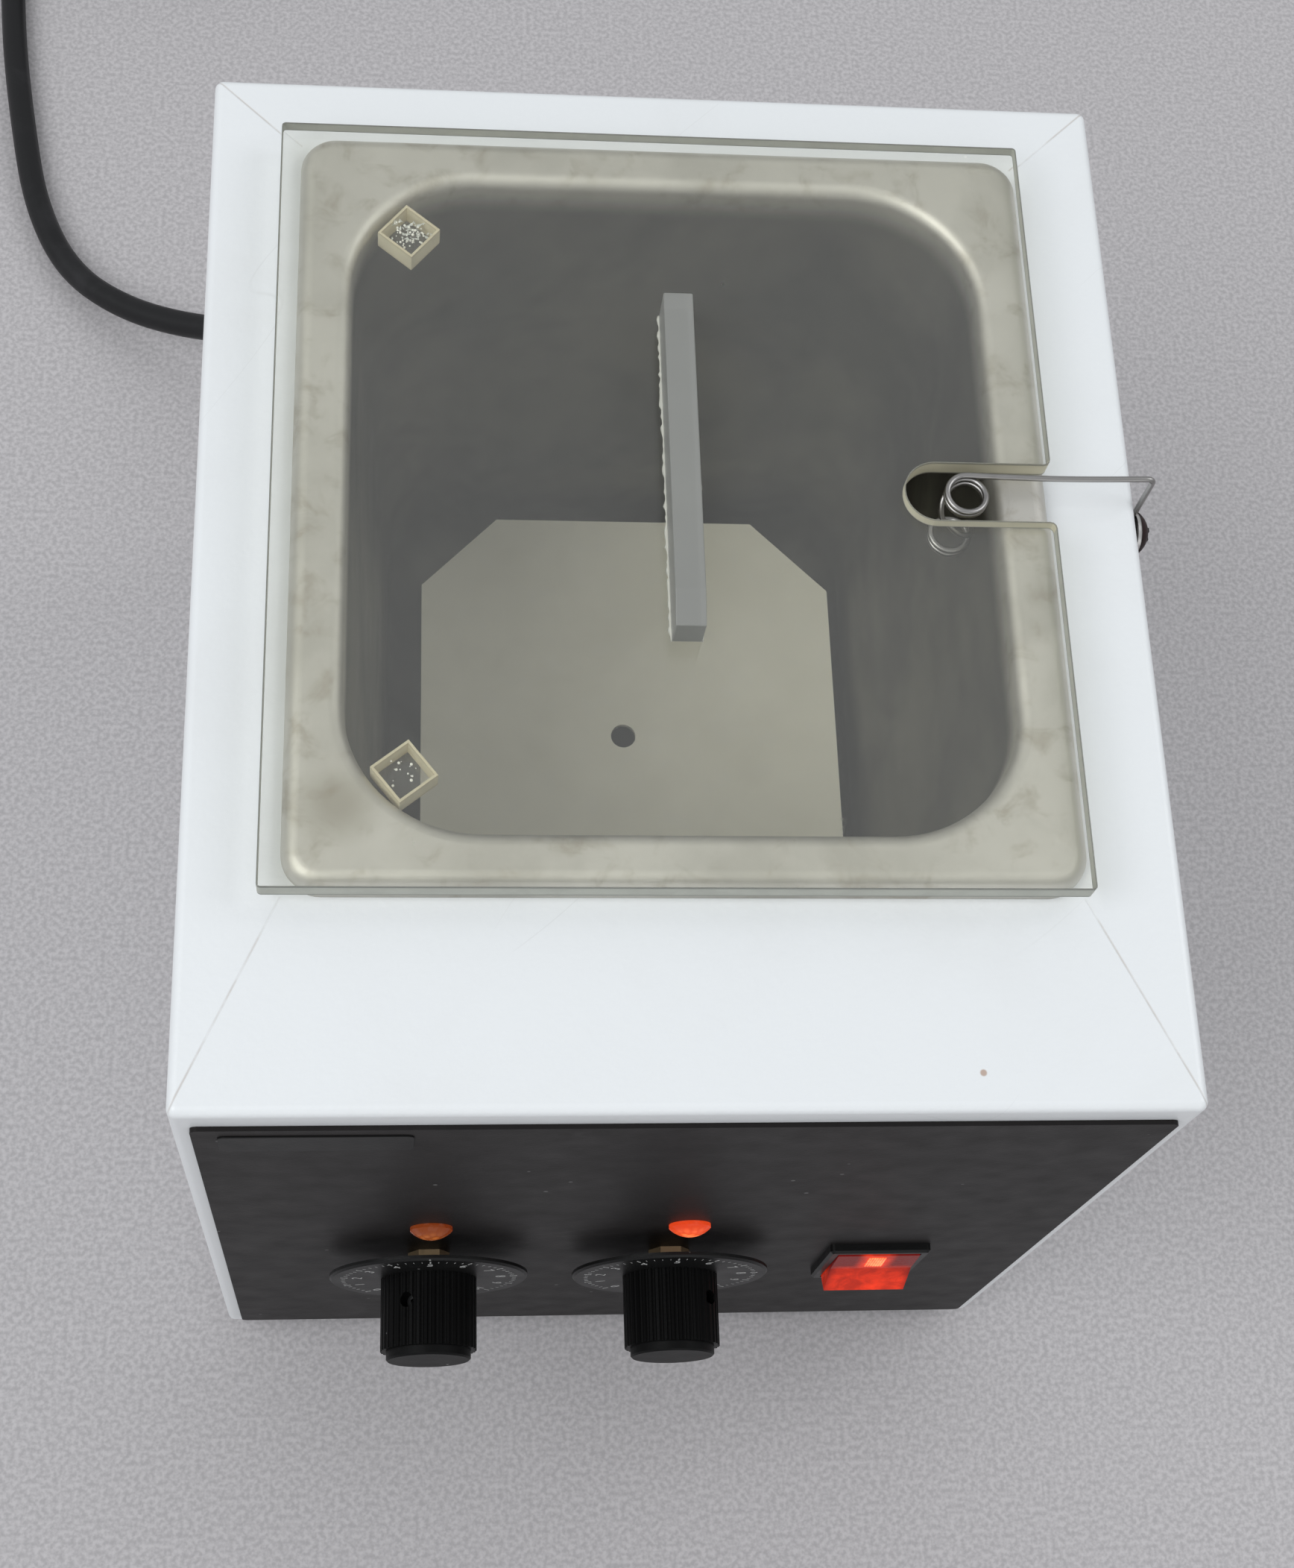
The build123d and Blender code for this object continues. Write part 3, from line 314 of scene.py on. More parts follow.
def case_paint():
    """White powder coat with a slight orange peel, brown dirt in the mitre seams and a few stains."""
    white = (0.835, 0.86, 0.875, 1.0)
    handled_grey = (0.77, 0.785, 0.79, 1.0)
    seam_brown = (0.36, 0.27, 0.19, 1.0)
    speck_brown = (0.42, 0.25, 0.16, 1.0)
    scuff_grey = (0.50, 0.50, 0.49, 1.0)
    folded_edge = 1.5 * MM
    least_dirt, patch_dirt = 0.06, 0.36
    seam_depth = 0.9
    material, net, shader = new_finish("case_paint", white, Coat_Weight=0.25, Coat_Roughness=0.18)
    peel = net.use(fine_grain, Scale=620.0, Stretch=EVEN)
    seams = None
    for x_case, x_tank in ((case_low.x, tank_low.x), (case_high.x, tank_high.x)):
        for y_case, y_tank in ((case_low.y, tank_low.y), (case_high.y, tank_high.y)):
            seam = net.use(mitre_seam, Corner=(x_case, y_case, case_high.z),
                           Towards=(x_tank, y_tank, case_high.z), Width=0.34 * MM)["Mask"]
            seams = seam if seams is None else net.math("MAXIMUM", seams, seam)
    on_top = net.math("GREATER_THAN", net.axes()["Z"], case_high.z - folded_edge)
    seams = net.math("MULTIPLY", seams, on_top)
    patchy = net.use(cloudy_stain, Scale=75.0, Low=0.35, High=0.62)["Mask"]
    dirt = net.math("MULTIPLY", seams, net.math("ADD", net.math("MULTIPLY", patchy, patch_dirt), least_dirt))
    greyed = net.use(cloudy_stain, Scale=22.0, Low=0.45, High=0.85)["Mask"]
    tint = net.blend(greyed, white, handled_grey, most=0.55)
    tint = net.blend(dirt, tint, seam_brown)
    brown = net.use(specks, Scale=75.0, Size=0.07, Share=0.035)["Mask"]
    tint = net.blend(brown, tint, speck_brown, most=0.75)
    scuffs = net.use(scratches, Scale=26.0, Stretch=(1.0, 0.16, 1.0), Turn=0.7, Width=0.0022)["Mask"]
    tint = net.blend(scuffs, tint, scuff_grey, most=0.16)
    net.link(tint, shader.inputs["Base Color"])
    set_roughness(net, shader, peel["Patches"], smooth=0.30, rough=0.46)
    relief = net.math("SUBTRACT", peel["Height"], net.math("MULTIPLY", seams, seam_depth))
    add_bump(net, shader, relief, 0.09 * MM)
    return material


def panel_paint():
    """Satin black panel with a faint sheen, fine texture, lint and a few rubbed marks."""
    black = (0.0125, 0.0110, 0.0108, 1.0)
    rubbed_black = (0.018, 0.0165, 0.0165, 1.0)
    scratch_grey = (0.06, 0.058, 0.058, 1.0)
    material, net, shader = new_finish("panel_paint", black, Specular_IOR_Level=0.15)
    grain = net.use(fine_grain, Scale=1100.0, Stretch=EVEN)
    rubbed = net.use(cloudy_stain, Scale=45.0, Low=0.45, High=0.8)["Mask"]
    tint = net.blend(rubbed, black, rubbed_black)
    lint = net.use(specks, Scale=210.0, Size=0.13, Share=0.05)["Mask"]
    tint = net.blend(lint, tint, LINT_GREY, most=0.4)
    lines = net.use(scratches, Scale=45.0, Stretch=(0.12, 1.0, 1.0), Turn=0.1, Width=0.0016)["Mask"]
    tint = net.blend(lines, tint, scratch_grey, most=0.25)
    coat(net, shader, tint, grain, smooth=0.40, rough=0.58, depth=0.04 * MM)
    return material


def tank_steel():
    """Drawn stainless: satin and stained on the flange; down inside, painted shade makes it dark, with patches
    of scale.
    """
    steel = (0.600, 0.585, 0.540, 1.0)
    water_mark = (0.47, 0.455, 0.41, 1.0)
    tea_mark = (0.36, 0.32, 0.25, 1.0)
    smudge_brown = (0.26, 0.23, 0.16, 1.0)
    rust_brown = (0.12, 0.09, 0.06, 1.0)
    inner_painted_shade = (0.036, 0.034, 0.028, 1.0)
    inner_scale = (0.118, 0.113, 0.092, 1.0)
    clip_low, clip_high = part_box("thermometer_clip")
    under_clip = Vector(((clip_low.x + 3 * clip_high.x) / 4, clip_high.y + 1 * MM, tank_high.z))
    left_front = Vector((tank_low.x + 11 * MM, tank_low.y + 17 * MM, tank_high.z))
    material, net, shader = new_finish("tank_steel", steel, Metallic=0.8)
    grain = net.use(fine_grain, Scale=800.0, Stretch=(1.0, 0.35, 1.0))
    wide = net.use(cloudy_stain, Scale=30.0, Low=0.42, High=0.72)["Mask"]
    small = net.use(cloudy_stain, Scale=120.0, Low=0.5, High=0.72)["Mask"]
    tint = net.blend(wide, steel, water_mark, most=0.85)
    tint = net.blend(small, tint, tea_mark, most=0.6)
    smudge = net.fade(net.vector("DISTANCE", net.coordinates(), left_front), 11 * MM, 1 * MM)
    tint = net.blend(smudge, tint, smudge_brown, most=0.55)
    drip = net.fade(net.vector("DISTANCE", net.coordinates(), under_clip), 7 * MM, 2 * MM)
    tint = net.blend(drip, tint, rust_brown, most=0.6)
    # Painted shade: below the flange the inside is darkened in its colour, where the lid and walls keep light
    # out; the clouds in it are scale.
    down = net.fade(net.axes()["Z"], tank_high.z - 2 * MM, tank_high.z - 11 * MM)
    clouds = net.use(cloudy_stain, Scale=17.0, Low=0.34, High=0.66)["Mask"]
    tint = net.blend(down, tint, net.blend(clouds, inner_painted_shade, inner_scale))
    coat(net, shader, tint, grain, smooth=0.46, rough=0.58, depth=0.0015 * MM)
    return material


def shelf_steel():
    """Satin stainless sheet with water marks."""
    steel = (0.93, 0.90, 0.77, 1.0)
    water_mark = (0.78, 0.75, 0.62, 1.0)
    dried_ring = (0.88, 0.86, 0.76, 1.0)
    material, net, shader = new_finish("shelf_steel", steel, Metallic=0.05)
    grain = net.use(fine_grain, Scale=900.0, Stretch=(0.3, 1.0, 1.0))
    marks = net.use(cloudy_stain, Scale=30.0, Low=0.36, High=0.70)["Mask"]
    rings = net.use(cloudy_stain, Scale=130.0, Low=0.55, High=0.62)["Mask"]
    tint = net.blend(marks, steel, water_mark, most=0.45)
    tint = net.blend(rings, tint, dried_ring, most=0.25)
    coat(net, shader, tint, grain, smooth=0.42, rough=0.60, depth=0.008 * MM)
    return material


def let_lamps_through(material, net, shader, colour):
    """Give lamps a straight way through the glass, so that what is behind it is lit."""
    passing = net.add("ShaderNodeBsdfTransparent", {"Color": colour})
    is_shadow = net.add("ShaderNodeLightPath").outputs["Is Shadow Ray"]
    surface = net.add("ShaderNodeMixShader", {0: is_shadow, 1: shader.outputs[0], 2: passing.outputs[0]})
    net.link(surface.outputs[0], material.node_tree.nodes["Material Output"].inputs["Surface"])


def acrylic(name, colour, haze, scratch_share, smooth=0.008):
    """Cast acrylic with a slight haze, light scratches and dust."""
    material, net, shader = new_finish(name, colour, IOR=1.49, Transmission_Weight=1.0 - haze)
    across = net.use(scratches, Scale=34.0, Stretch=(1.0, 0.14, 1.0), Turn=0.45, Width=0.0007)["Mask"]
    along = net.use(scratches, Scale=52.0, Stretch=(0.16, 1.0, 1.0), Turn=-0.5, Width=0.0006)["Mask"]
    lines = net.math("MULTIPLY", net.math("MAXIMUM", across, along), scratch_share)
    smear = net.use(cloudy_stain, Scale=26.0, Low=0.4, High=0.8)["Mask"]
    dots = net.use(specks, Scale=120.0, Size=0.06, Share=0.05)["Mask"]
    smear_share = 0.03
    marks = net.math("ADD", net.math("ADD", lines, dots), net.math("MULTIPLY", smear, smear_share))
    worn = net.math("MINIMUM", marks, 1.0)
    tint = net.blend(smear, colour, shade(colour, 1.1), most=0.8)
    net.link(tint, shader.inputs["Base Color"])
    set_roughness(net, shader, worn, smooth, rough=max(0.3, smooth))
    add_bump(net, shader, net.use(fine_grain, Scale=14.0, Stretch=EVEN)["Height"], 0.02 * MM)
    let_lamps_through(material, net, shader, shade(colour, 0.98))
    return material


def lit_lens(name, glass, glow, strength, low, high):
    """A moulded lens with a faceted inside and a glow that is strongest in its middle."""
    material, net, shader = new_finish(name, glass, Roughness=0.2, IOR=1.5, Transmission_Weight=0.2,
                                       Specular_IOR_Level=0.12, Emission_Strength=strength)
    least_facet, facet_share = 0.2, 0.8
    radius = (high.x - low.x) / 2
    gap = net.vector("DISTANCE", net.coordinates(), (low + high) / 2)
    middle_mask = net.fade(gap, radius * 0.95, radius * 0.10)
    facets = net.add("ShaderNodeTexVoronoi", {"Vector": net.coordinates(), "Scale": 620.0})
    facet = net.fade(facets.outputs["Distance"], 0.75, 0.15)
    faceted = net.math("ADD", net.math("MULTIPLY", facet, facet_share), least_facet)
    tone = net.math("MULTIPLY", middle_mask, faceted)
    rim_glow = (glow[0] * 0.45, glow[1] * 0.15, glow[2] * 0.1, 1.0)
    net.link(net.blend(tone, rim_glow, glow), shader.inputs["Emission Color"])
    net.link(net.blend(tone, shade(glass, 0.35), glass), shader.inputs["Base Color"])
    add_bump(net, shader, facets.outputs["Distance"], 0.2 * MM)
    return material


def switch_red():
    """Translucent red rocker, lit from inside: bright along its lower edge and behind the window."""
    red = (0.16, 0.006, 0.004, 1.0)
    material, net, shader = new_finish("switch_red", red, Roughness=0.25, IOR=1.5, Specular_IOR_Level=0.07,
                                       Emission_Strength=1.0)
    dim_glow = (0.045, 0.002, 0.002, 1.0)
    bright_glow = (1.0, 0.050, 0.010, 1.0)
    face_share, lower_share, window_share = 0.40, 0.36, 0.8
    least_cloud, cloud_share = 0.45, 0.7
    low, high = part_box("switch_rocker")
    width = high.x - low.x
    rise = high.z - low.z
    place = net.axes()
    aside = net.math("ABSOLUTE", net.math("SUBTRACT", place["X"], (low.x + high.x) / 2))
    inward = net.fade(aside, width * 0.26, width * 0.08)
    lower = net.fade(place["Z"], low.z + rise * 0.62, low.z + rise * 0.12)
    upper = net.fade(place["Z"], low.z + rise * 0.50, low.z + rise * 0.66)
    cloud = net.use(cloudy_stain, Scale=200.0, Low=0.3, High=0.7)["Mask"]
    rim = net.fade(aside, width * 0.52, width * 0.40)
    face = net.math("MULTIPLY", net.math("SUBTRACT", 1.0, upper), net.math("MULTIPLY", rim, face_share))
    tone = net.math("ADD", face, net.math("MULTIPLY", lower, lower_share))
    behind_window = net.math("MULTIPLY", upper, net.math("MULTIPLY", inward, window_share))
    tone = net.math("ADD", tone, behind_window)
    clouded = net.math("ADD", net.math("MULTIPLY", cloud, cloud_share), least_cloud)
    tone = net.math("MULTIPLY", tone, clouded)
    net.link(net.blend(tone, dim_glow, bright_glow), shader.inputs["Emission Color"])
    add_bump(net, shader, net.use(fine_grain, Scale=500.0, Stretch=EVEN)["Height"], 0.03 * MM)
    return material


def lit_window():
    """The ribbed orange window of the rocker, lit from behind."""
    orange = (0.90, 0.085, 0.025, 1.0)
    pale_orange = (1.0, 0.27, 0.10, 1.0)
    material, net, shader = new_finish("lit_window", orange, Roughness=0.3, Emission_Strength=1.3)
    cloud = net.use(cloudy_stain, Scale=420.0, Low=0.3, High=0.7)["Mask"]
    net.link(net.blend(cloud, orange, pale_orange), shader.inputs["Emission Color"])
    return material


def glass_fibre():
    """Pale matted insulation."""
    straw = (0.78, 0.72, 0.56, 1.0)
    material, net, shader = new_finish("insulation", straw, Roughness=0.95, Sheen_Weight=0.4)
    fibres = net.use(fine_grain, Scale=500.0, Stretch=(0.2, 0.2, 1.0))
    tint = net.blend(fibres["Patches"], straw, shade(straw, 0.7))
    net.link(tint, shader.inputs["Base Color"])
    add_bump(net, shader, fibres["Height"], 0.6 * MM)
    return material


def cord_jacket():
    """Smooth black jacket with faint scuffs along it."""
    black = (0.011, 0.011, 0.012, 1.0)
    scuffed_black = (0.024, 0.024, 0.026, 1.0)
    material, net, shader = new_finish("cord_rubber", black, Specular_IOR_Level=0.28)
    grain = net.use(fine_grain, Scale=700.0, Stretch=EVEN)
    scuffed = net.use(cloudy_stain, Scale=60.0, Low=0.5, High=0.8)["Mask"]
    lint = net.use(specks, Scale=300.0, Size=0.12, Share=0.06)["Mask"]
    tint = net.blend(scuffed, black, scuffed_black)
    tint = net.blend(lint, tint, LINT_GREY, most=0.5)
    coat(net, shader, tint, grain, smooth=0.36, rough=0.52, depth=0.05 * MM)
    return material


def print_white():
    """White printing ink, slightly worn."""
    white = (0.52, 0.52, 0.51, 1.0)
    worn_white = (0.30, 0.30, 0.30, 1.0)
    material, net, shader = new_finish("print_white", white, Roughness=0.55)
    worn = net.use(cloudy_stain, Scale=900.0, Low=0.55, High=0.75)["Mask"]
    net.link(net.blend(worn, white, worn_white), shader.inputs["Base Color"])
    return material


def grey(level, warm=0.0):
    """A grey, slightly warm if asked."""
    return (level, level * (1 - warm * 0.5), level * (1 - warm), 1.0)


lamp_boxes = {name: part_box(f"{name}_lamp_lens") for name in ("heating", "limit")}
finishes = {
    "case_paint": case_paint(),
    "panel_paint": panel_paint(),
    "tank_steel": tank_steel(),
    "shelf_steel": shelf_steel(),
    "base_steel": worn_metal("base_steel", grey(0.50), 0.35, 0.55, scale=300.0),
    "fastener": worn_metal("fastener", grey(0.60, 0.04), 0.25, 0.45),
    "shaft_steel": worn_metal("shaft_steel", grey(0.55), 0.22, 0.38, stretch=(1.0, 0.1, 1.0)),
    "wire_steel": worn_metal("wire_steel", grey(0.36, 0.05), 0.24, 0.38, scale=1500.0, stain=0.7),
    "set_screw_black": worn_metal("set_screw_black", grey(0.06), 0.35, 0.5),
    "brass": worn_metal("brass", (0.46, 0.34, 0.20, 1.0), 0.38, 0.6, stain=0.55),
    "copper": worn_metal("copper", (0.72, 0.42, 0.24, 1.0), 0.25, 0.42, stain=0.6),
    "ground_green": moulded("ground_green", (0.05, 0.33, 0.12, 1.0), 0.35, 0.5),
    "foot_rubber": moulded("foot_rubber", grey(0.025), 0.7, 0.85, depth=0.1 * MM),
    "thermostat_case": moulded("thermostat_case", (0.42, 0.33, 0.22, 1.0), 0.5, 0.65),
    "heater_mica": moulded("heater_mica", (0.42, 0.34, 0.24, 1.0), 0.45, 0.65, depth=0.1 * MM, scale=300.0),
    "dial_black": moulded("dial_black", grey(0.006), 0.34, 0.48, dust=0.05, shine=0.22),
    "knob_black": moulded("knob_black", grey(0.0030), 0.36, 0.48, dust=0.03, shine=0.07),
    "cap_black": moulded("cap_black", grey(0.006), 0.42, 0.52, dust=0.02, shine=0.09),
    "switch_black": moulded("switch_black", grey(0.005), 0.30, 0.42, dust=0.04, shine=0.2),
    "clip_black": moulded("clip_black", (0.014, 0.005, 0.005, 1.0), 0.42, 0.50, shine=0.15),
    "relief_nylon": moulded("relief_nylon", grey(0.012), 0.40, 0.55, shine=0.3),
    "lamp_tube": moulded("lamp_tube", (0.72, 0.70, 0.64, 1.0), 0.4, 0.55),
    "block_plastic": moulded("block_plastic", (0.68, 0.66, 0.58, 1.0), 0.4, 0.55),
    "wire_insulation": moulded("wire_insulation", (0.80, 0.80, 0.76, 1.0), 0.5, 0.65),
    "amber_lens": lit_lens("amber_lens", (0.50, 0.155, 0.04, 1.0), (0.80, 0.24, 0.05, 1.0), 0.26,
                           *lamp_boxes["heating"]),
    "red_lens": lit_lens("red_lens", (0.55, 0.025, 0.008, 1.0), (1.0, 0.27, 0.085, 1.0), 1.25,
                         *lamp_boxes["limit"]),
    "switch_red": switch_red(),
    "acrylic": acrylic("acrylic", (0.915, 0.915, 0.88, 1.0), 0.035, 0.22),
    "acrylic_block": acrylic("acrylic_block", (0.95, 0.945, 0.91, 1.0), 0.03, 0.2),
    "insulation": glass_fibre(),
    "cord_rubber": cord_jacket(),
}
ink = print_white()
window = lit_window()

for row in frame["record"]["subparts"]:
    node_materials = frame["nodes"][row["node"]].data.materials
    node_materials.clear()
    node_materials.append(finishes[row["material_slot"]])


# ---------------------------------------------------------------- building pieces
def add_piece(name, mesh, finish, body):
    """Link a finished mesh as a piece that rides on a body and fills a material slot."""
    piece = placed(name, mesh)
    mesh.materials.clear()
    mesh.materials.append(finish)
    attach(piece, body)
    return piece


def mesh_from(shape, name, smooth=True):
    """A tidy mesh from a bmesh: doubles merged, faces outwards."""
    bmesh.ops.remove_doubles(shape, verts=shape.verts, dist=1e-6)
    bmesh.ops.recalc_face_normals(shape, faces=shape.faces)
    for face in shape.faces:
        face.smooth = smooth
    mesh = bpy.data.meshes.new(name)
    shape.to_mesh(mesh)
    shape.free()
    return mesh


def applied(holder):
    """The plain mesh of a working object's modifiers, curve or text. The object is removed."""
    bpy.context.view_layer.update()
    depsgraph = bpy.context.evaluated_depsgraph_get()
    mesh = bpy.data.meshes.new_from_object(holder.evaluated_get(depsgraph))
    bpy.data.objects.remove(holder)
    return mesh


def skin(shape, rings, capped=True):
    """Join each ring of points to the next with four-sided faces, and close the two ends."""
    for ring, following in zip(rings, rings[1:]):
        for here in range(len(ring)):
            after = (here + 1) % len(ring)
            shape.faces.new((ring[here], ring[after], following[after], following[here]))
    if capped:
        shape.faces.new(rings[0])
        shape.faces.new(rings[-1])


def tube_along(name, points, radius_at, sides):
    """A closed round tube through points, with its radius given at each by a function of 0 to 1."""
    shape = bmesh.new()
    rings = []
    upright = Vector((0, 0, 1))
    turns = [2 * pi * step / sides for step in range(sides)]
    for index, point in enumerate(points):
        before, after = points[max(index - 1, 0)], points[min(index + 1, len(points) - 1)]
        heading = (after - before).normalized()
        across = heading.cross(upright)
        across = across.normalized() if across.length > 0.05 else Vector((1, 0, 0))
        up = across.cross(heading).normalized()
        radius = radius_at(index / (len(points) - 1))
        rings.append([shape.verts.new(point + radius * (cos(t) * across + sin(t) * up)) for t in turns])
    skin(shape, rings)
    return mesh_from(shape, name)


def extruded(name, outline, direction, bevel):
    """A prism from an outline, pushed along a direction, with its edges slightly rounded."""
    shape = bmesh.new()
    face = shape.faces.new([shape.verts.new(point) for point in outline])
    pushed = bmesh.ops.extrude_face_region(shape, geom=[face])
    bmesh.ops.translate(shape, vec=direction,
                        verts=[v for v in pushed["geom"] if isinstance(v, bmesh.types.BMVert)])
    holder = placed(name, mesh_from(shape, name, smooth=False))
    rounding = holder.modifiers.new("rounding", "BEVEL")
    rounding.width = bevel
    rounding.segments = 2
    rounding.limit_method = "ANGLE"
    rounding.angle_limit = radians(30)
    rounding.harden_normals = True
    return applied(holder)


def surface_hit(node, start, direction):
    """Where a straight line first meets a node, and the surface's direction there."""
    mesh = frame["nodes"][node].data
    tree = BVHTree.FromPolygons([v.co for v in mesh.vertices], [tuple(p.vertices) for p in mesh.polygons])
    place, facing, _, _ = tree.ray_cast(start, direction)
    return place, facing


# ---------------------------------------------------------------- geometry trees for what repeats
GEOMETRY = [("Geometry", "NodeSocketGeometry")]


def finish_tree(net, given, result, instances):
    """End a tree by making its instances real and giving them the material."""
    real = net.add("GeometryNodeRealizeInstances", {0: instances}).outputs[0]
    painted = net.add("GeometryNodeSetMaterial", {"Geometry": real, "Material": given["Material"]})
    net.link(painted.outputs[0], result["Geometry"])
    return net.tree


def make_graduations():
    """Short marks round an arc, standing on the XY plane, counted clockwise from the start angle."""
    net, given, result = new_group(
        "graduations", "GeometryNodeTree",
        [("Count", "NodeSocketInt", 11), ("Radius", FLOAT, 0.02), ("Length", FLOAT, 0.002),
         ("Width", FLOAT, 0.0003), ("Height", FLOAT, 0.0001), ("Start", FLOAT, 0.0), ("Step", FLOAT, 0.1),
         ("Material", "NodeSocketMaterial", None)], GEOMETRY)
    size = net.add("ShaderNodeCombineXYZ", {0: given["Width"], 1: given["Length"], 2: given["Height"]})
    mark = net.add("GeometryNodeMeshCube", {"Size": size.outputs[0]}).outputs["Mesh"]
    lift = net.math("MULTIPLY", given["Height"], 0.5)
    out_to = net.add("ShaderNodeCombineXYZ", {1: given["Radius"], 2: lift})
    moved = net.add("GeometryNodeTransform", {"Geometry": mark, "Translation": out_to.outputs[0]})
    points = net.add("GeometryNodeMeshLine", {"Count": given["Count"], "Offset": (0, 0, 0)}).outputs["Mesh"]
    number = net.add("GeometryNodeInputIndex").outputs[0]
    angle = net.math("SUBTRACT", given["Start"], net.math("MULTIPLY", number, given["Step"]))
    spin = net.add("FunctionNodeEulerToRotation", {0: net.add("ShaderNodeCombineXYZ", {2: angle}).outputs[0]})
    marks = net.add("GeometryNodeInstanceOnPoints",
                    {"Points": points, "Instance": moved.outputs[0], "Rotation": spin.outputs[0]})
    return finish_tree(net, given, result, marks.outputs[0])


def make_rib_row():
    """Equal upright ribs in a row along X, centred on the origin."""
    net, given, result = new_group(
        "rib_row", "GeometryNodeTree",
        [("Count", "NodeSocketInt", 5), ("Pitch", FLOAT, 0.001), ("Width", FLOAT, 0.0005),
         ("Length", FLOAT, 0.004), ("Height", FLOAT, 0.0003), ("Material", "NodeSocketMaterial", None)],
        GEOMETRY)
    size = net.add("ShaderNodeCombineXYZ", {0: given["Width"], 1: given["Length"], 2: given["Height"]})
    rib = net.add("GeometryNodeMeshCube", {"Size": size.outputs[0]}).outputs["Mesh"]
    span = net.math("MULTIPLY", net.math("SUBTRACT", given["Count"], 1.0), given["Pitch"])
    first = net.add("ShaderNodeCombineXYZ", {0: net.math("MULTIPLY", span, -0.5)}).outputs[0]
    step = net.add("ShaderNodeCombineXYZ", {0: given["Pitch"]}).outputs[0]
    points = net.add("GeometryNodeMeshLine",
                     {"Count": given["Count"], "Start Location": first, "Offset": step})
    ribs = net.add("GeometryNodeInstanceOnPoints", {"Points": points.outputs["Mesh"], "Instance": rib})
    return finish_tree(net, given, result, ribs.outputs[0])


def make_air_bubbles():
    """Small round bubbles scattered in a box centred on the origin."""
    net, given, result = new_group(
        "air_bubbles", "GeometryNodeTree",
        [("Count", "NodeSocketInt", 30), ("Box", VECTOR, (0.008, 0.008, 0.004)), ("Smallest", FLOAT, 0.0002),
         ("Largest", FLOAT, 0.0006), ("Seed", "NodeSocketInt", 1), ("Material", "NodeSocketMaterial", None)],
        GEOMETRY)
    corner = net.add("ShaderNodeVectorMath", {0: given["Box"], "Scale": 0.5}, operation="SCALE").outputs[0]
    opposite = net.add("ShaderNodeVectorMath", {0: given["Box"], "Scale": -0.5}, operation="SCALE").outputs[0]
    place = net.add("FunctionNodeRandomValue", {0: opposite, 1: corner, "Seed": given["Seed"]},
                    data_type="FLOAT_VECTOR").outputs[0]
    points = net.add("GeometryNodePoints", {"Count": given["Count"], "Position": place}).outputs[0]
    ball = net.add("GeometryNodeMeshIcoSphere", {"Radius": 1.0, "Subdivisions": 2}).outputs["Mesh"]
    sizes = {2: given["Smallest"], 3: given["Largest"], "Seed": given["Seed"]}
    size = net.add("FunctionNodeRandomValue", sizes, data_type="FLOAT").outputs[1]
    bubbles = net.add("GeometryNodeInstanceOnPoints", {"Points": points, "Instance": ball, "Scale": size})
    return finish_tree(net, given, result, bubbles.outputs[0])


graduations = make_graduations()
rib_row = make_rib_row()
air_bubbles = make_air_bubbles()


def grow(name, tree, place, **values):
    """The plain mesh that a geometry tree makes with these inputs, moved to its place."""
    holder = placed(name, bpy.data.meshes.new(name))
    modifier = holder.modifiers.new(name, "NODES")
    modifier.node_group = tree
    for item in tree.interface.items_tree:
        if item.in_out == "INPUT" and item.name in values:
            modifier[item.identifier] = values[item.name]
    mesh = applied(holder)
    mesh.transform(place)
    return mesh


def facing_front(centre, turn=0.0):
    """Puts a flat drawing's XY plane upright at a centre, facing the front, turned clockwise."""
    return Matrix.Translation(centre) @ Matrix.Rotation(pi / 2, 4, "X") @ Matrix.Rotation(-turn, 4, "Z")


# ---------------------------------------------------------------- mains cord
cord_radius = 4 * MM
cord_exit = (-0.0827, 0.1360, 0.0460)
cord_route = [
    cord_exit,
    (-0.0827, 0.1560, 0.0450),
    (-0.0900, 0.1750, 0.0400),
    (-0.1050, 0.1900, 0.0305),
    (-0.1255, 0.1975, 0.0190),
    (-0.1490, 0.2100, 0.0095),
    (-0.1680, 0.2270, 0.0045),
    (-0.1797, 0.2520, 0.0040),
    (-0.1857, 0.2820, 0.0040),
    (-0.1907, 0.3130, 0.0040),
    (-0.1937, 0.3440, 0.0040),
    (-0.1952, 0.3720, 0.0040),
    (-0.1947, 0.3990, 0.0040),
]
coil_centre = Vector((-0.1467, 0.4090, 0.0))
inner_turn = 40 * MM
outer_turn = 48 * MM
first_layer, second_layer, third_layer = (cord_radius * layer for layer in (1, 3, 5))
coil_places = [(outer_turn, first_layer), (inner_turn, first_layer), (inner_turn, second_layer),
               (outer_turn, second_layer), (inner_turn, third_layer), (outer_turn, third_layer)]
points_per_turn = 16
coil_turns = 5.25
cord_tail = [
    (-0.1207, 0.4560, 0.0190),
    (-0.0947, 0.4520, 0.0140),
    (-0.0687, 0.4510, 0.0110),
]


def coil_points():
    """The wound turns, clockwise from above, each easing into the next one's place in a quarter turn."""
    points = []
    for step in range(1, int(coil_turns * points_per_turn)):
        turn, part = divmod(step, points_per_turn)
        ease = min(1.0, part / (points_per_turn / 4))
        radius, height = coil_places[turn]
        last_radius, last_height = coil_places[max(turn - 1, 0)]
        radius = last_radius + (radius - last_radius) * ease
        height = last_height + (height - last_height) * ease
        angle = pi - 2 * pi * step / points_per_turn
        points.append(coil_centre + Vector((radius * cos(angle), radius * sin(angle), height)))
    return points


def nurbs_cord(name, points, radius):
    """A round cord on one open NURBS spline that starts and ends at its end points."""
    curve = bpy.data.curves.new(name, "CURVE")
    curve.dimensions = "3D"
    spline = curve.splines.new("NURBS")
    spline.points.add(len(points) - 1)
    for spline_point, place in zip(spline.points, points):
        spline_point.co = (*place, 1.0)
    spline.order_u = 3
    spline.use_endpoint_u = True
    spline.resolution_u = 8
    curve.bevel_depth = radius
    curve.bevel_resolution = 5
    curve.use_fill_caps = True
    return curve


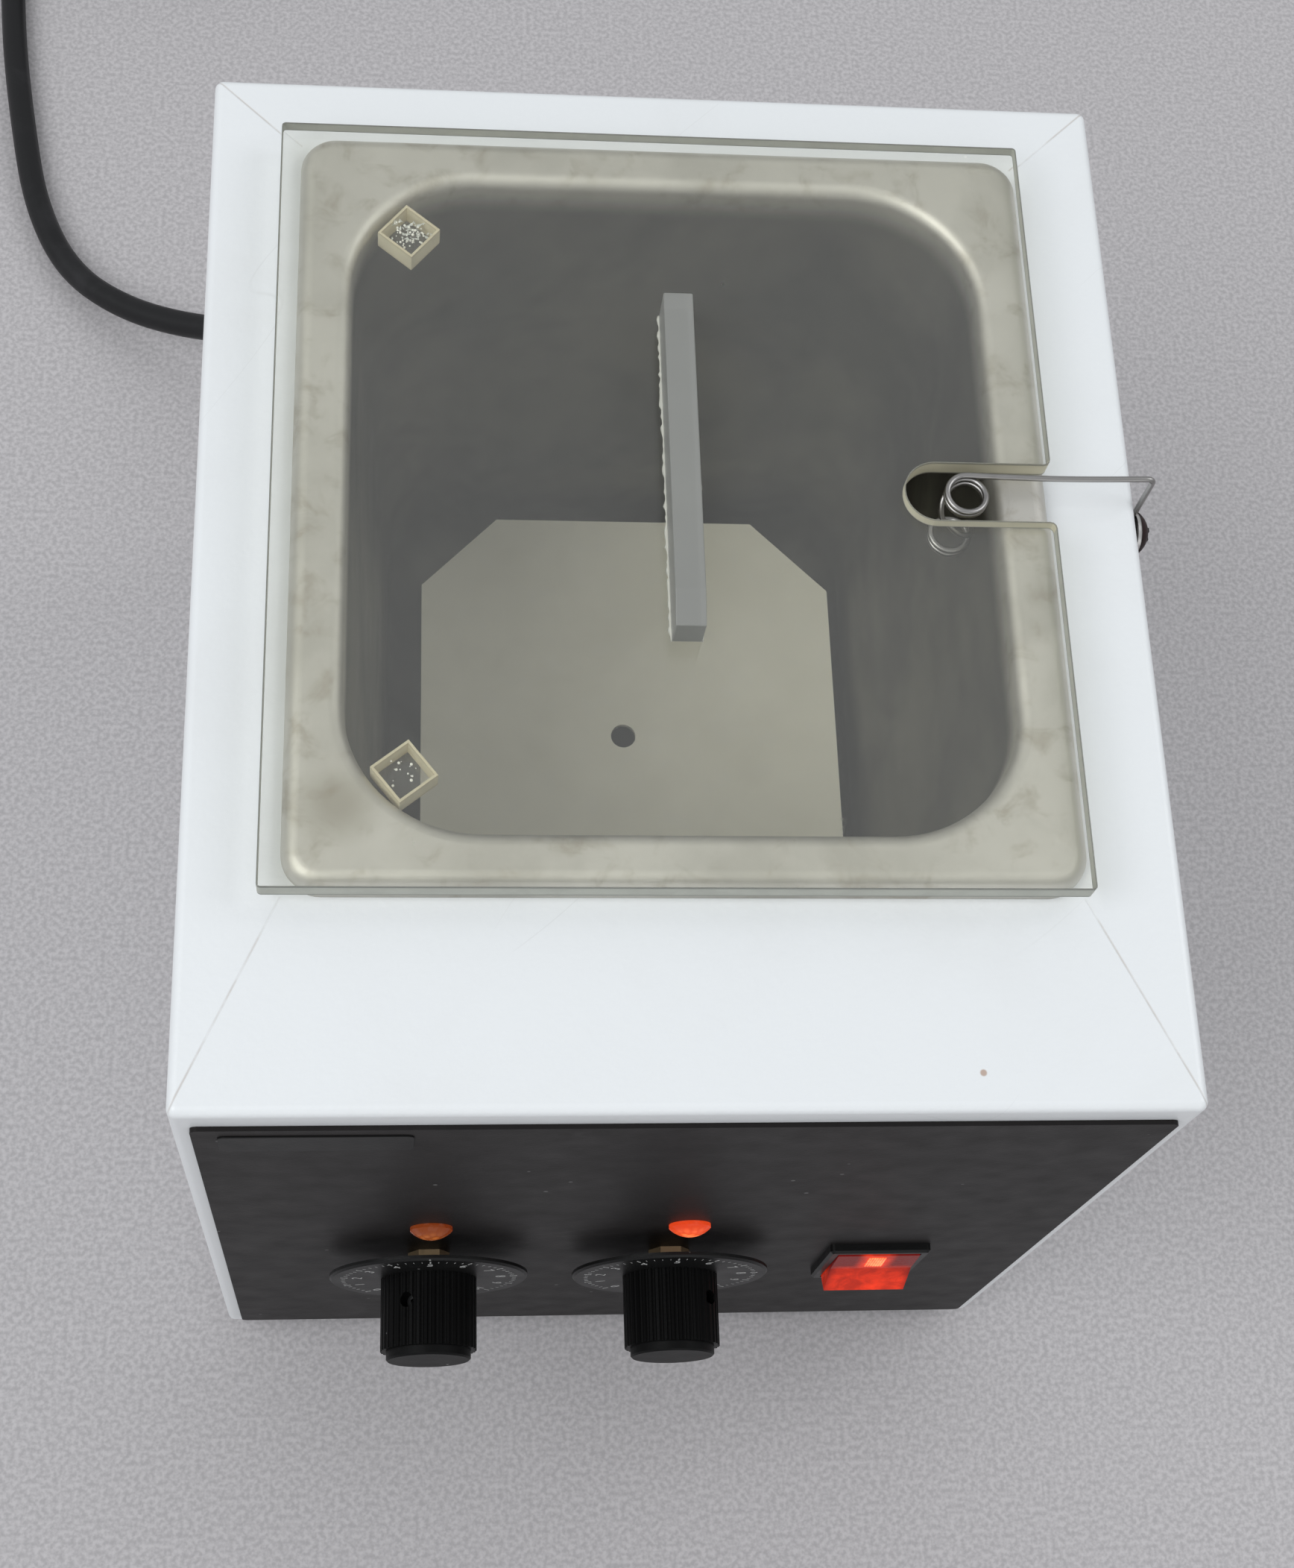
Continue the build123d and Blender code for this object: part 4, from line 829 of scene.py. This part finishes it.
coil_end = coil_centre + Vector((0, outer_turn, third_layer))
cord_points = cord_route + coil_points() + [coil_end] + cord_tail
cord_curve = nurbs_cord("mains_cord", cord_points, cord_radius)
cord_curve.materials.append(finishes["cord_rubber"])
mains_cord = placed("mains_cord", cord_curve)
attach(mains_cord, "case")
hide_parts("power_cord", "cord_tail", "cord_coil")


def cord_boot():
    """The tapered, grooved strain relief round the first stretch of cord."""
    centre = Vector(cord_exit)
    inside_case = 9 * MM
    start_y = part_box("strain_relief")[0].y + inside_case
    length = 27 * MM
    droop = 0.9 * MM
    flange_radius, flange_share = 9.0 * MM, 0.09
    root_radius, taper = 6.6 * MM, 2.3 * MM
    grooves, groove_depth = 6, 0.7 * MM
    plain_from = 0.93
    steps = 60
    points = [Vector((centre.x, start_y + length * step / steps, centre.z - droop * (step / steps) ** 2))
              for step in range(steps + 1)]

    def radius_at(share):
        """The boot's radius at a share of its length: a flange, then a taper with grooves."""
        if share < flange_share:
            return flange_radius
        in_groove = sin(2 * pi * grooves * share) > 0.55 and share < plain_from
        return root_radius - taper * share - (groove_depth if in_groove else 0.0)

    return tube_along("cord_boot", points, radius_at, sides=28)


boot = add_piece("cord_boot", cord_boot(), finishes["relief_nylon"], "case")
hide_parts("strain_relief")


# ---------------------------------------------------------------- thermometer clip
def clip_line():
    """The clip's wire: close turns, one open turn, close turns, then the arm and the leg to the screw."""
    low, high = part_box("thermometer_clip")
    wire = 0.65 * MM
    coil_radius = 4.25 * MM
    centre_x = low.x + coil_radius + wire
    arm_y = high.y - wire
    centre_y = arm_y - coil_radius
    top = high.z - wire
    leg_x = high.x - wire
    screw = middle("clip_screw")
    bend_radius = 1.6 * MM
    loop_radius = 2.5 * MM
    arm_bow, arm_sag = 0.25 * MM, 0.3 * MM
    all_turns = 4.75
    close_turns, opening_turns = 1.9, 1.1
    close_pitch = 1.45 * MM
    open_drop = 17 * MM
    per_turn = 28

    def drop_at(turns):
        """How far below the top the wire is after so many turns."""
        opened = min(max((turns - close_turns) / opening_turns, 0.0), 1.0)
        return close_pitch * turns + (open_drop - close_pitch) * opened * opened * (3 - 2 * opened)

    coil = []
    for step in range(int(all_turns * per_turn), 0, -1):
        angle = pi / 2 + 2 * pi * step / per_turn
        coil.append(Vector((centre_x + coil_radius * cos(angle), centre_y + coil_radius * sin(angle),
                            top - drop_at(step / per_turn))))
    arm = [Vector((centre_x + (leg_x - bend_radius - centre_x) * share, arm_y - arm_bow * sin(pi * share),
                   top - arm_sag * sin(pi * share))) for share in (0.0, 0.12, 0.3, 0.5, 0.7, 0.9, 1.0)]
    bend = [Vector((leg_x - bend_radius * (1 - sin(turn)), arm_y, top - bend_radius * (1 - cos(turn))))
            for turn in (pi / 8, pi / 4, 3 * pi / 8, pi / 2)]
    leg = [Vector((leg_x, arm_y, top + (screw.z - top) * share)) for share in (0.3, 0.5, 0.75)]
    loop = [Vector((leg_x, arm_y - loop_radius + loop_radius * cos(turn), screw.z - loop_radius * sin(turn)))
            for turn in (pi * step / 8 for step in range(15))]
    return coil + arm + bend + leg + loop, wire


def clip_wire():
    """The whole wire as one smooth round tube."""
    points, wire = clip_line()
    curve = nurbs_cord("clip_wire", points, wire)
    curve.splines[0].resolution_u = 3
    return applied(placed("clip_wire", curve))


clip = add_piece("clip_wire", clip_wire(), finishes["wire_steel"], "case")
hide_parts("thermometer_clip")


# ---------------------------------------------------------------- lid
slot_half = 6.9 * MM
slot_y = (lid_low.y + lid_high.y) / 2
slot_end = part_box("thermometer_clip")[0].x - 1.4 * MM


def lid_outline(height):
    """The lid's edge with its rounded slot, at a height."""
    corner = 0.8 * MM
    mouth = 1.4 * MM

    def arc(centre_x, centre_y, radius, start, end, steps):
        """Points on an arc, angles in quarter turns."""
        angles = [pi / 2 * (start + (end - start) * step / steps) for step in range(steps + 1)]
        return [Vector((centre_x + radius * cos(a), centre_y + radius * sin(a), height)) for a in angles]

    right, left = lid_high.x, lid_low.x
    return [
        *arc(left + corner, lid_low.y + corner, corner, 2, 3, 3),
        *arc(right - corner, lid_low.y + corner, corner, 3, 4, 3),
        *arc(right - mouth, slot_y - slot_half - mouth, mouth, 0, 1, 3),
        *arc(slot_end, slot_y, slot_half, 3, 1, 20),
        *arc(right - mouth, slot_y + slot_half + mouth, mouth, 3, 4, 3),
        *arc(right - corner, lid_high.y - corner, corner, 0, 1, 3),
        *arc(left + corner, lid_high.y - corner, corner, 1, 2, 3),
    ]


def frame_walls(name, outlines, low, high, thickness):
    """Thin upright walls that follow closed outlines from just outside them inwards."""
    proud = 0.02 * MM
    sharpest_mitre = 0.6
    shape = bmesh.new()
    for outline in outlines:
        rings = [[], [], [], []]
        for index, point in enumerate(outline):
            ahead = outline[(index + 1) % len(outline)] - point
            behind = point - outline[index - 1]
            along = (ahead.normalized() + behind.normalized()).normalized()
            mitre = max(sharpest_mitre, along.dot(behind.normalized()))
            outwards = Vector((along.y, -along.x, 0.0)) / mitre
            section = ((proud, low), (proud, high), (-thickness, high), (-thickness, low))
            for ring, (offset, height) in zip(rings, section):
                place = point + outwards * offset
                ring.append(shape.verts.new((place.x, place.y, height)))
        skin(shape, rings + rings[:1], capped=False)
    return mesh_from(shape, name, smooth=False)


def sawn_acrylic(name, colour, dark, low, high):
    """The frosted, sawn side of acrylic, with painted shade along its two edges for the dark lines that
    refraction gives, and cream in the lid's slot.
    """
    slot_cream = (0.74, 0.70, 0.54, 1.0)
    material, net, shader = new_finish(name, colour, Roughness=0.55, IOR=1.49, Transmission_Weight=0.25)
    place = net.axes()
    # Painted shade: towards the top and bottom of the sawn side the colour goes to the dark colour, standing
    # in for the dark lines that refraction makes along a clear edge.
    from_middle = net.math("ABSOLUTE", net.math("SUBTRACT", place["Z"], (low + high) / 2))
    edge = net.fade(from_middle, (high - low) * 0.30, (high - low) * 0.46)
    blotch = net.use(cloudy_stain, Scale=180.0, Low=0.3, High=0.7)["Mask"]
    tint = net.blend(blotch, colour, shade(colour, 0.7), most=0.35)
    aside = net.math("ABSOLUTE", net.math("SUBTRACT", place["Y"], slot_y))
    near_slot = net.math("LESS_THAN", aside, slot_half + 1.5 * MM)
    beyond = net.math("GREATER_THAN", place["X"], slot_end - slot_half - 1.2 * MM)
    tint = net.blend(net.math("MULTIPLY", near_slot, beyond), tint, slot_cream)
    tint = net.blend(edge, tint, dark, most=0.8)
    net.link(tint, shader.inputs["Base Color"])
    saw_marks = net.use(fine_grain, Scale=600.0, Stretch=(1.0, 1.0, 0.25))["Height"]
    add_bump(net, shader, saw_marks, 0.06 * MM)
    let_lamps_through(material, net, shader, shade(colour, 0.9))
    return material


lid_sheet = extruded("lid_sheet", lid_outline(lid_low.z), Vector((0, 0, lid_high.z - lid_low.z)), 0.25 * MM)
lid = add_piece("lid_sheet", lid_sheet, finishes["acrylic"], "lid")
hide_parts("lid_plate")
# The second colour is the painted shade along the top and bottom of the lid's sawn edge.
lid_sawn = sawn_acrylic("lid_sawn", (0.56, 0.57, 0.51, 1.0), (0.16, 0.165, 0.15, 1.0), lid_low.z, lid_high.z)
inset = 0.2 * MM
lid_edge = frame_walls("lid_edge", [lid_outline(0.0)], lid_low.z + inset, lid_high.z - inset, 0.22 * MM)
add_piece("lid_edge", lid_edge, lid_sawn, "lid")


def handle_bar():
    """The square bar on the lid, cut to a slope at its front end."""
    low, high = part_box("lid_handle")
    slope_length = 7.6 * MM
    slope_height = 1.6 * MM
    outline = [
        Vector((low.x, low.y, low.z)), Vector((low.x, high.y, low.z)), Vector((low.x, high.y, high.z)),
        Vector((low.x, low.y + slope_length, high.z)), Vector((low.x, low.y, high.z - slope_height)),
    ]
    return extruded("handle_bar", outline, Vector((high.x - low.x, 0, 0)), 0.3 * MM)


satin_acrylic = acrylic("satin_acrylic", (0.50, 0.505, 0.485, 1.0), 0.42, 0.3, smooth=0.30)
handle = add_piece("handle_bar", handle_bar(), satin_acrylic, "lid")
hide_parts("lid_handle")


def squeezed_glue():
    """The uneven bead of cement along both sides of the handle, with one wider blob."""
    low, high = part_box("lid_handle")
    length = high.y - low.y
    blob_y = low.y + length * 0.46
    blob_width, blob_reach = 1.5 * MM, 3 * MM
    tallest = 0.8 * MM
    bottom = low.z + 0.02 * MM
    narrowest, usual = 0.25, 0.55
    steps = 90
    shape = bmesh.new()
    left_width, right_width = 0.75 * MM, 0.5 * MM
    for side, outward, wide, blob in ((low.x, -1, left_width, 0.0), (high.x, 1, right_width, blob_width)):
        rings = []
        for step in range(steps + 1):
            y = low.y + length * step / steps
            short_swell = 0.9 * noise.noise(Vector((side * 900, y * 700, 0.3)))
            long_swell = 0.5 * noise.noise(Vector((side * 300, y * 210, 2.0)))
            width = wide * max(narrowest, usual + short_swell + long_swell)
            width += blob * max(0.0, 1 - abs(y - blob_y) / blob_reach)
            rise = min(width, tallest)
            profile = [(0.0, 0.0), (width, 0.0), (0.72 * width, 0.45 * rise), (0.3 * width, 0.8 * rise),
                       (0.0, rise)]
            rings.append([shape.verts.new((side + outward * across, y, bottom + up))
                          for across, up in profile])
        skin(shape, rings)
    return mesh_from(shape, "squeezed_glue")


cement = acrylic("cement", (0.82, 0.82, 0.75, 1.0), 0.5, 0.2, smooth=0.25)
add_piece("squeezed_glue", squeezed_glue(), cement, "lid")

block_low, block_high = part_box("lid_blocks")


def block_outlines():
    """The square outlines of the rear and front locating blocks, each turned on its own."""
    half = 4.8 * MM
    centre_x = (block_low.x + block_high.x) / 2
    outlines = []
    for turn, rear_block in ((radians(50), True), (radians(38), False)):
        reach = half * (cos(turn) + sin(turn))
        centre = Vector((centre_x, block_high.y - reach if rear_block else block_low.y + reach, 0.0))
        corners = ((-half, -half), (half, -half), (half, half), (-half, half))
        outlines.append([centre + Matrix.Rotation(turn, 3, "Z") @ Vector((x, y, 0.0)) for x, y in corners])
    return outlines


# The second colour is the painted shade along the top and bottom of the blocks' sawn sides.
block_sawn = sawn_acrylic("block_sawn", (0.80, 0.75, 0.58, 1.0), (0.60, 0.54, 0.38, 1.0),
                          block_low.z, block_high.z)
block_sides = frame_walls("block_sides", block_outlines(), block_low.z, block_high.z - 0.05 * MM, 0.5 * MM)
sides = add_piece("block_sides", block_sides, block_sawn, "lid")


def block_core():
    """The clear bottoms of the blocks, each a thin plate inside its sawn sides."""
    thickness = Vector((0, 0, 0.6 * MM))
    bottom = Vector((0, 0, block_low.z))
    inside_walls = 0.93
    plates = bmesh.new()
    for outline in block_outlines():
        centre = sum(outline, Vector()) / len(outline)
        inner = [centre + (point - centre) * inside_walls + bottom for point in outline]
        plates.from_mesh(extruded("plate", inner, thickness, 0.05 * MM))
    return mesh_from(plates, "block_core", smooth=False)


add_piece("block_core", block_core(), finishes["acrylic_block"], "lid")
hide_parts("lid_blocks")


def cracked_film():
    """Flakes in the rear block, where its cement pulled away in small cracks; their light grey is painted
    reflection, the glint of those cracks.
    """
    rear_outline = block_outlines()[0]
    block_centre = sum(rear_outline, Vector()) / len(rear_outline)
    scatter = 7.5 * MM
    top_layer, layer_gap, layers = block_high.z - 0.6 * MM, 0.25 * MM, 5
    thickness = Vector((0, 0, 0.06 * MM))
    steepness = 0.35
    shard = ((0, 1.0), (2.2, 0.45), (3.7, 0.9), (5.1, 0.35))
    flake_count = 34
    flakes = bmesh.new()
    for flake in range(flake_count):
        # Noise read at places far apart gives each flake its own spot and size.
        aside = noise.noise(Vector((flake * 3.7, 0.4, 0)))
        forward = noise.noise(Vector((0.9, flake * 2.9, 5)))
        height = top_layer - flake % layers * layer_gap
        centre = block_centre + Vector((aside * scatter, forward * scatter, height))
        turn = flake * 2.4
        size = (0.5 + 0.9 * abs(noise.noise(Vector((flake * 1.3, 7, 2))))) * MM
        tilt = Vector((cos(turn * 1.7), sin(turn * 1.7), 0)) * steepness
        corners = []
        for angle, reach in shard:
            flat = Vector((cos(turn + angle), sin(turn + angle), 0)) * reach
            corners.append(centre + (flat + Vector((0, 0, flat.dot(tilt)))) * size)
        skin(flakes, [[flakes.verts.new(corner - depth) for corner in corners]
                      for depth in (Vector(), thickness)])
    return mesh_from(flakes, "cracked_film", smooth=False)


# Painted reflection: the flakes' light grey stands for the glint of the real cracks in the cement.
crack_glint_finish = moulded("flake", (0.52, 0.54, 0.51, 1.0), 0.1, 0.25)
add_piece("cracked_film", cracked_film(), crack_glint_finish, "lid")


def block_bubbles():
    """Air bubbles in the cement over the two locating blocks, more in the rear one."""
    half = (block_high.x - block_low.x) / 2
    depth = block_high.z - block_low.z
    bubbles = bmesh.new()
    for y, count, seed in ((block_high.y - half, 60, 4), (block_low.y + half, 16, 9)):
        centre = Vector((block_low.x + half, y, block_high.z - depth * 0.25))
        mesh = grow("bubbles", air_bubbles, Matrix.Translation(centre), Count=count, Seed=seed,
                    Box=(half * 0.95, half * 0.95, depth * 0.35), Smallest=0.10 * MM, Largest=0.34 * MM)
        bubbles.from_mesh(mesh)
    return mesh_from(bubbles, "block_bubbles")


bubble_white = moulded("bubble_white", (0.85, 0.85, 0.80, 1.0), 0.1, 0.2)
add_piece("block_bubbles", block_bubbles(), bubble_white, "lid")


# ---------------------------------------------------------------- dials and panel marks
def numeral_mesh(text, size, place):
    """A flat number, centred, moved to its place."""
    lettering = bpy.data.curves.new("numeral", "FONT")
    lettering.body = text
    lettering.size = size
    lettering.align_x = "CENTER"
    lettering.align_y = "CENTER"
    lettering.extrude = 0.03 * MM
    mesh = applied(placed("numeral", lettering))
    mesh.transform(place)
    return mesh


def dial_print(name):
    """The printed numbers 0 to 10 and the marks between them, on the dial's face."""
    low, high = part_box(f"{name}_dial")
    centre = Vector(((low.x + high.x) / 2, low.y, (low.z + high.z) / 2))
    edge = (high.x - low.x) / 2
    number_radius, number_size = edge - 6.4 * MM, 3.4 * MM
    mark_radius = edge - 3.2 * MM
    sweep = radians(270)
    last_number = 10
    print_shape = bmesh.new()
    for number in range(last_number + 1):
        turn = -sweep / 2 + sweep * number / last_number
        out = facing_front(centre, turn) @ Matrix.Translation((0, number_radius, 0))
        print_shape.from_mesh(numeral_mesh(str(number), number_size, out))
    for spaces, length, width in ((last_number, 1.7 * MM, 0.32 * MM), (5 * last_number, 0.9 * MM, 0.13 * MM)):
        marks = grow("marks", graduations, facing_front(centre), Count=spaces + 1, Radius=mark_radius,
                     Length=length, Width=width, Height=0.04 * MM, Start=sweep / 2, Step=sweep / spaces)
        print_shape.from_mesh(marks)
    mesh = bpy.data.meshes.new(f"{name}_dial_print")
    print_shape.to_mesh(mesh)
    print_shape.free()
    return mesh


for name in ("temp", "limit"):
    add_piece(f"{name}_dial_print", dial_print(name), ink, f"{name}_control")


def index_lines():
    """One white index line on the panel under each lamp."""
    width, thickness, length = 0.5 * MM, 0.06 * MM, 3.6 * MM
    below_lamp = 3.2 * MM
    lines = bmesh.new()
    for low, high in lamp_boxes.values():
        place = Matrix.Translation(((low.x + high.x) / 2, panel_low.y - thickness / 3, low.z - below_lamp))
        size = Matrix.Diagonal((width, thickness, length, 1.0))
        bmesh.ops.create_cube(lines, size=1.0, matrix=place @ size)
    return mesh_from(lines, "index_lines", smooth=False)


add_piece("index_lines", index_lines(), ink, "case")


def blank_label():
    """The thin blank name strip at the panel's top left corner."""
    width, height, thickness = 38 * MM, 11 * MM, 0.35 * MM
    left = panel_low.x + 5 * MM
    top = panel_high.z - 4 * MM
    radius = 1.5 * MM
    near_left, near_right = left + radius, left + width - radius
    near_top, near_bottom = top - radius, top - height + radius
    outline = []
    for quarter, (centre_x, centre_z) in enumerate(((near_right, near_top), (near_left, near_top),
                                                    (near_left, near_bottom), (near_right, near_bottom))):
        for step in range(5):
            angle = pi / 2 * (quarter + step / 4)
            outline.append(Vector((centre_x + radius * cos(angle), panel_low.y,
                                   centre_z + radius * sin(angle))))
    return extruded("blank_label", outline, Vector((0, -thickness, 0)), 0.12 * MM)


label_black = moulded("label_black", grey(0.011), 0.40, 0.5, shine=0.16)
add_piece("blank_label", blank_label(), label_black, "case")


# ---------------------------------------------------------------- rocker window
def rocker_window():
    """Ribs of the lit window, standing on the upper half of the rocker's face."""
    low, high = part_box("switch_rocker")
    start = Vector(((low.x + high.x) / 2, low.y - 20 * MM, low.z + (high.z - low.z) * 0.76))
    place, facing = surface_hit("switch_rocker", start, Vector((0, 1, 0)))
    across = Vector((1, 0, 0))
    out = facing.normalized()
    up = out.cross(across).normalized()
    turn = Matrix((across, up, out)).transposed().to_4x4()
    return grow("rocker_window", rib_row, Matrix.Translation(place) @ turn, Count=7, Pitch=0.62 * MM,
                Width=0.42 * MM, Length=7.6 * MM, Height=0.35 * MM)


add_piece("rocker_window", rocker_window(), window, "power_rocker")


# ---------------------------------------------------------------- screw recesses and plug grip
def cross_recess():
    """The cross recess in the clip screw's domed head, filled with near-black boxes as painted shade."""
    low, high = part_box("clip_screw")
    sunk, width, reach = 0.5 * MM, 0.9 * MM, 3.6 * MM
    place = Matrix.Translation((high.x - sunk, (low.y + high.y) / 2, (low.z + high.z) / 2))
    recess = bmesh.new()
    for size in ((width, width, reach, 1.0), (width, reach, width, 1.0)):
        bmesh.ops.create_cube(recess, size=1.0, matrix=place @ Matrix.Diagonal(size))
    return mesh_from(recess, "cross_recess", smooth=False)


# Painted shade: the boxes' near-black stands for the shade down in the recess.
recess_painted_shade = moulded("recess_painted_shade", grey(0.006), 0.5, 0.6)
add_piece("cross_recess", cross_recess(), recess_painted_shade, "case")


def plug_grip():
    """Moulded finger ribs across the top of the plug."""
    low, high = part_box("plug_body")
    start = Vector((low.x + 27 * MM, (low.y + high.y) / 2, high.z + 20 * MM))
    place, facing = surface_hit("plug_body", start, Vector((0, 0, -1)))
    out = facing.normalized()
    across = Vector((1, 0, 0)).cross(out).normalized() * -1
    along = out.cross(across).normalized()
    turn = Matrix((along, across, out)).transposed().to_4x4()
    return grow("plug_grip", rib_row, Matrix.Translation(place) @ turn, Count=6, Pitch=2.4 * MM,
                Width=1.1 * MM, Length=11 * MM, Height=0.8 * MM)


add_piece("plug_grip", plug_grip(), finishes["cord_rubber"], "case")


# ---------------------------------------------------------------- floor and lights
def floor():
    """A plain pale table top."""
    shape = bmesh.new()
    bmesh.ops.create_grid(shape, x_segments=1, y_segments=1, size=4.0)
    mesh = mesh_from(shape, "floor", smooth=False)
    table_grey = (0.50, 0.48, 0.495, 1.0)
    dark_speckle = (0.42, 0.405, 0.415, 1.0)
    pale_speckle = (0.56, 0.54, 0.55, 1.0)
    table, net, shader = new_finish("table_top", table_grey)
    grain = net.use(fine_grain, Scale=760.0, Stretch=EVEN)
    speckle = net.fade(grain["Height"], 0.30, 0.70)
    net.link(net.blend(speckle, dark_speckle, pale_speckle), shader.inputs["Base Color"])
    set_roughness(net, shader, grain["Patches"], smooth=0.55, rough=0.7)
    mesh.materials.append(table)
    placed("floor", mesh)


bath_centre = Vector((0.0, 0.0, 0.12))
cool_white = (0.97, 0.985, 1.0)
plain_white = (1.0, 1.0, 1.0)


def area_light(name, place, size, power, colour):
    """A square soft light that looks at the bath."""
    lamp = bpy.data.lights.new(name, "AREA")
    lamp.shape = "SQUARE"
    lamp.size = size
    lamp.energy = power
    lamp.color = colour
    holder = placed(name, lamp)
    holder.location = place
    holder.rotation_euler = (bath_centre - Vector(place)).to_track_quat("-Z", "Y").to_euler()


floor()
area_light("ceiling", (-1.3, -0.5, 1.9), size=1.5, power=21.0, colour=cool_white)
area_light("ceiling_right", (1.5, 0.2, 1.7), size=1.2, power=9.0, colour=cool_white)
area_light("front_fill", (0.3, -2.0, 0.7), size=1.2, power=3.0, colour=plain_white)
world = bpy.data.worlds.new("room")
bpy.context.scene.world = world
world.use_nodes = True
background = world.node_tree.nodes["Background"].inputs
background["Color"].default_value = (0.86, 0.88, 0.90, 1.0)
background["Strength"].default_value = 0.62
bpy.context.scene.view_settings.view_transform = "Standard"
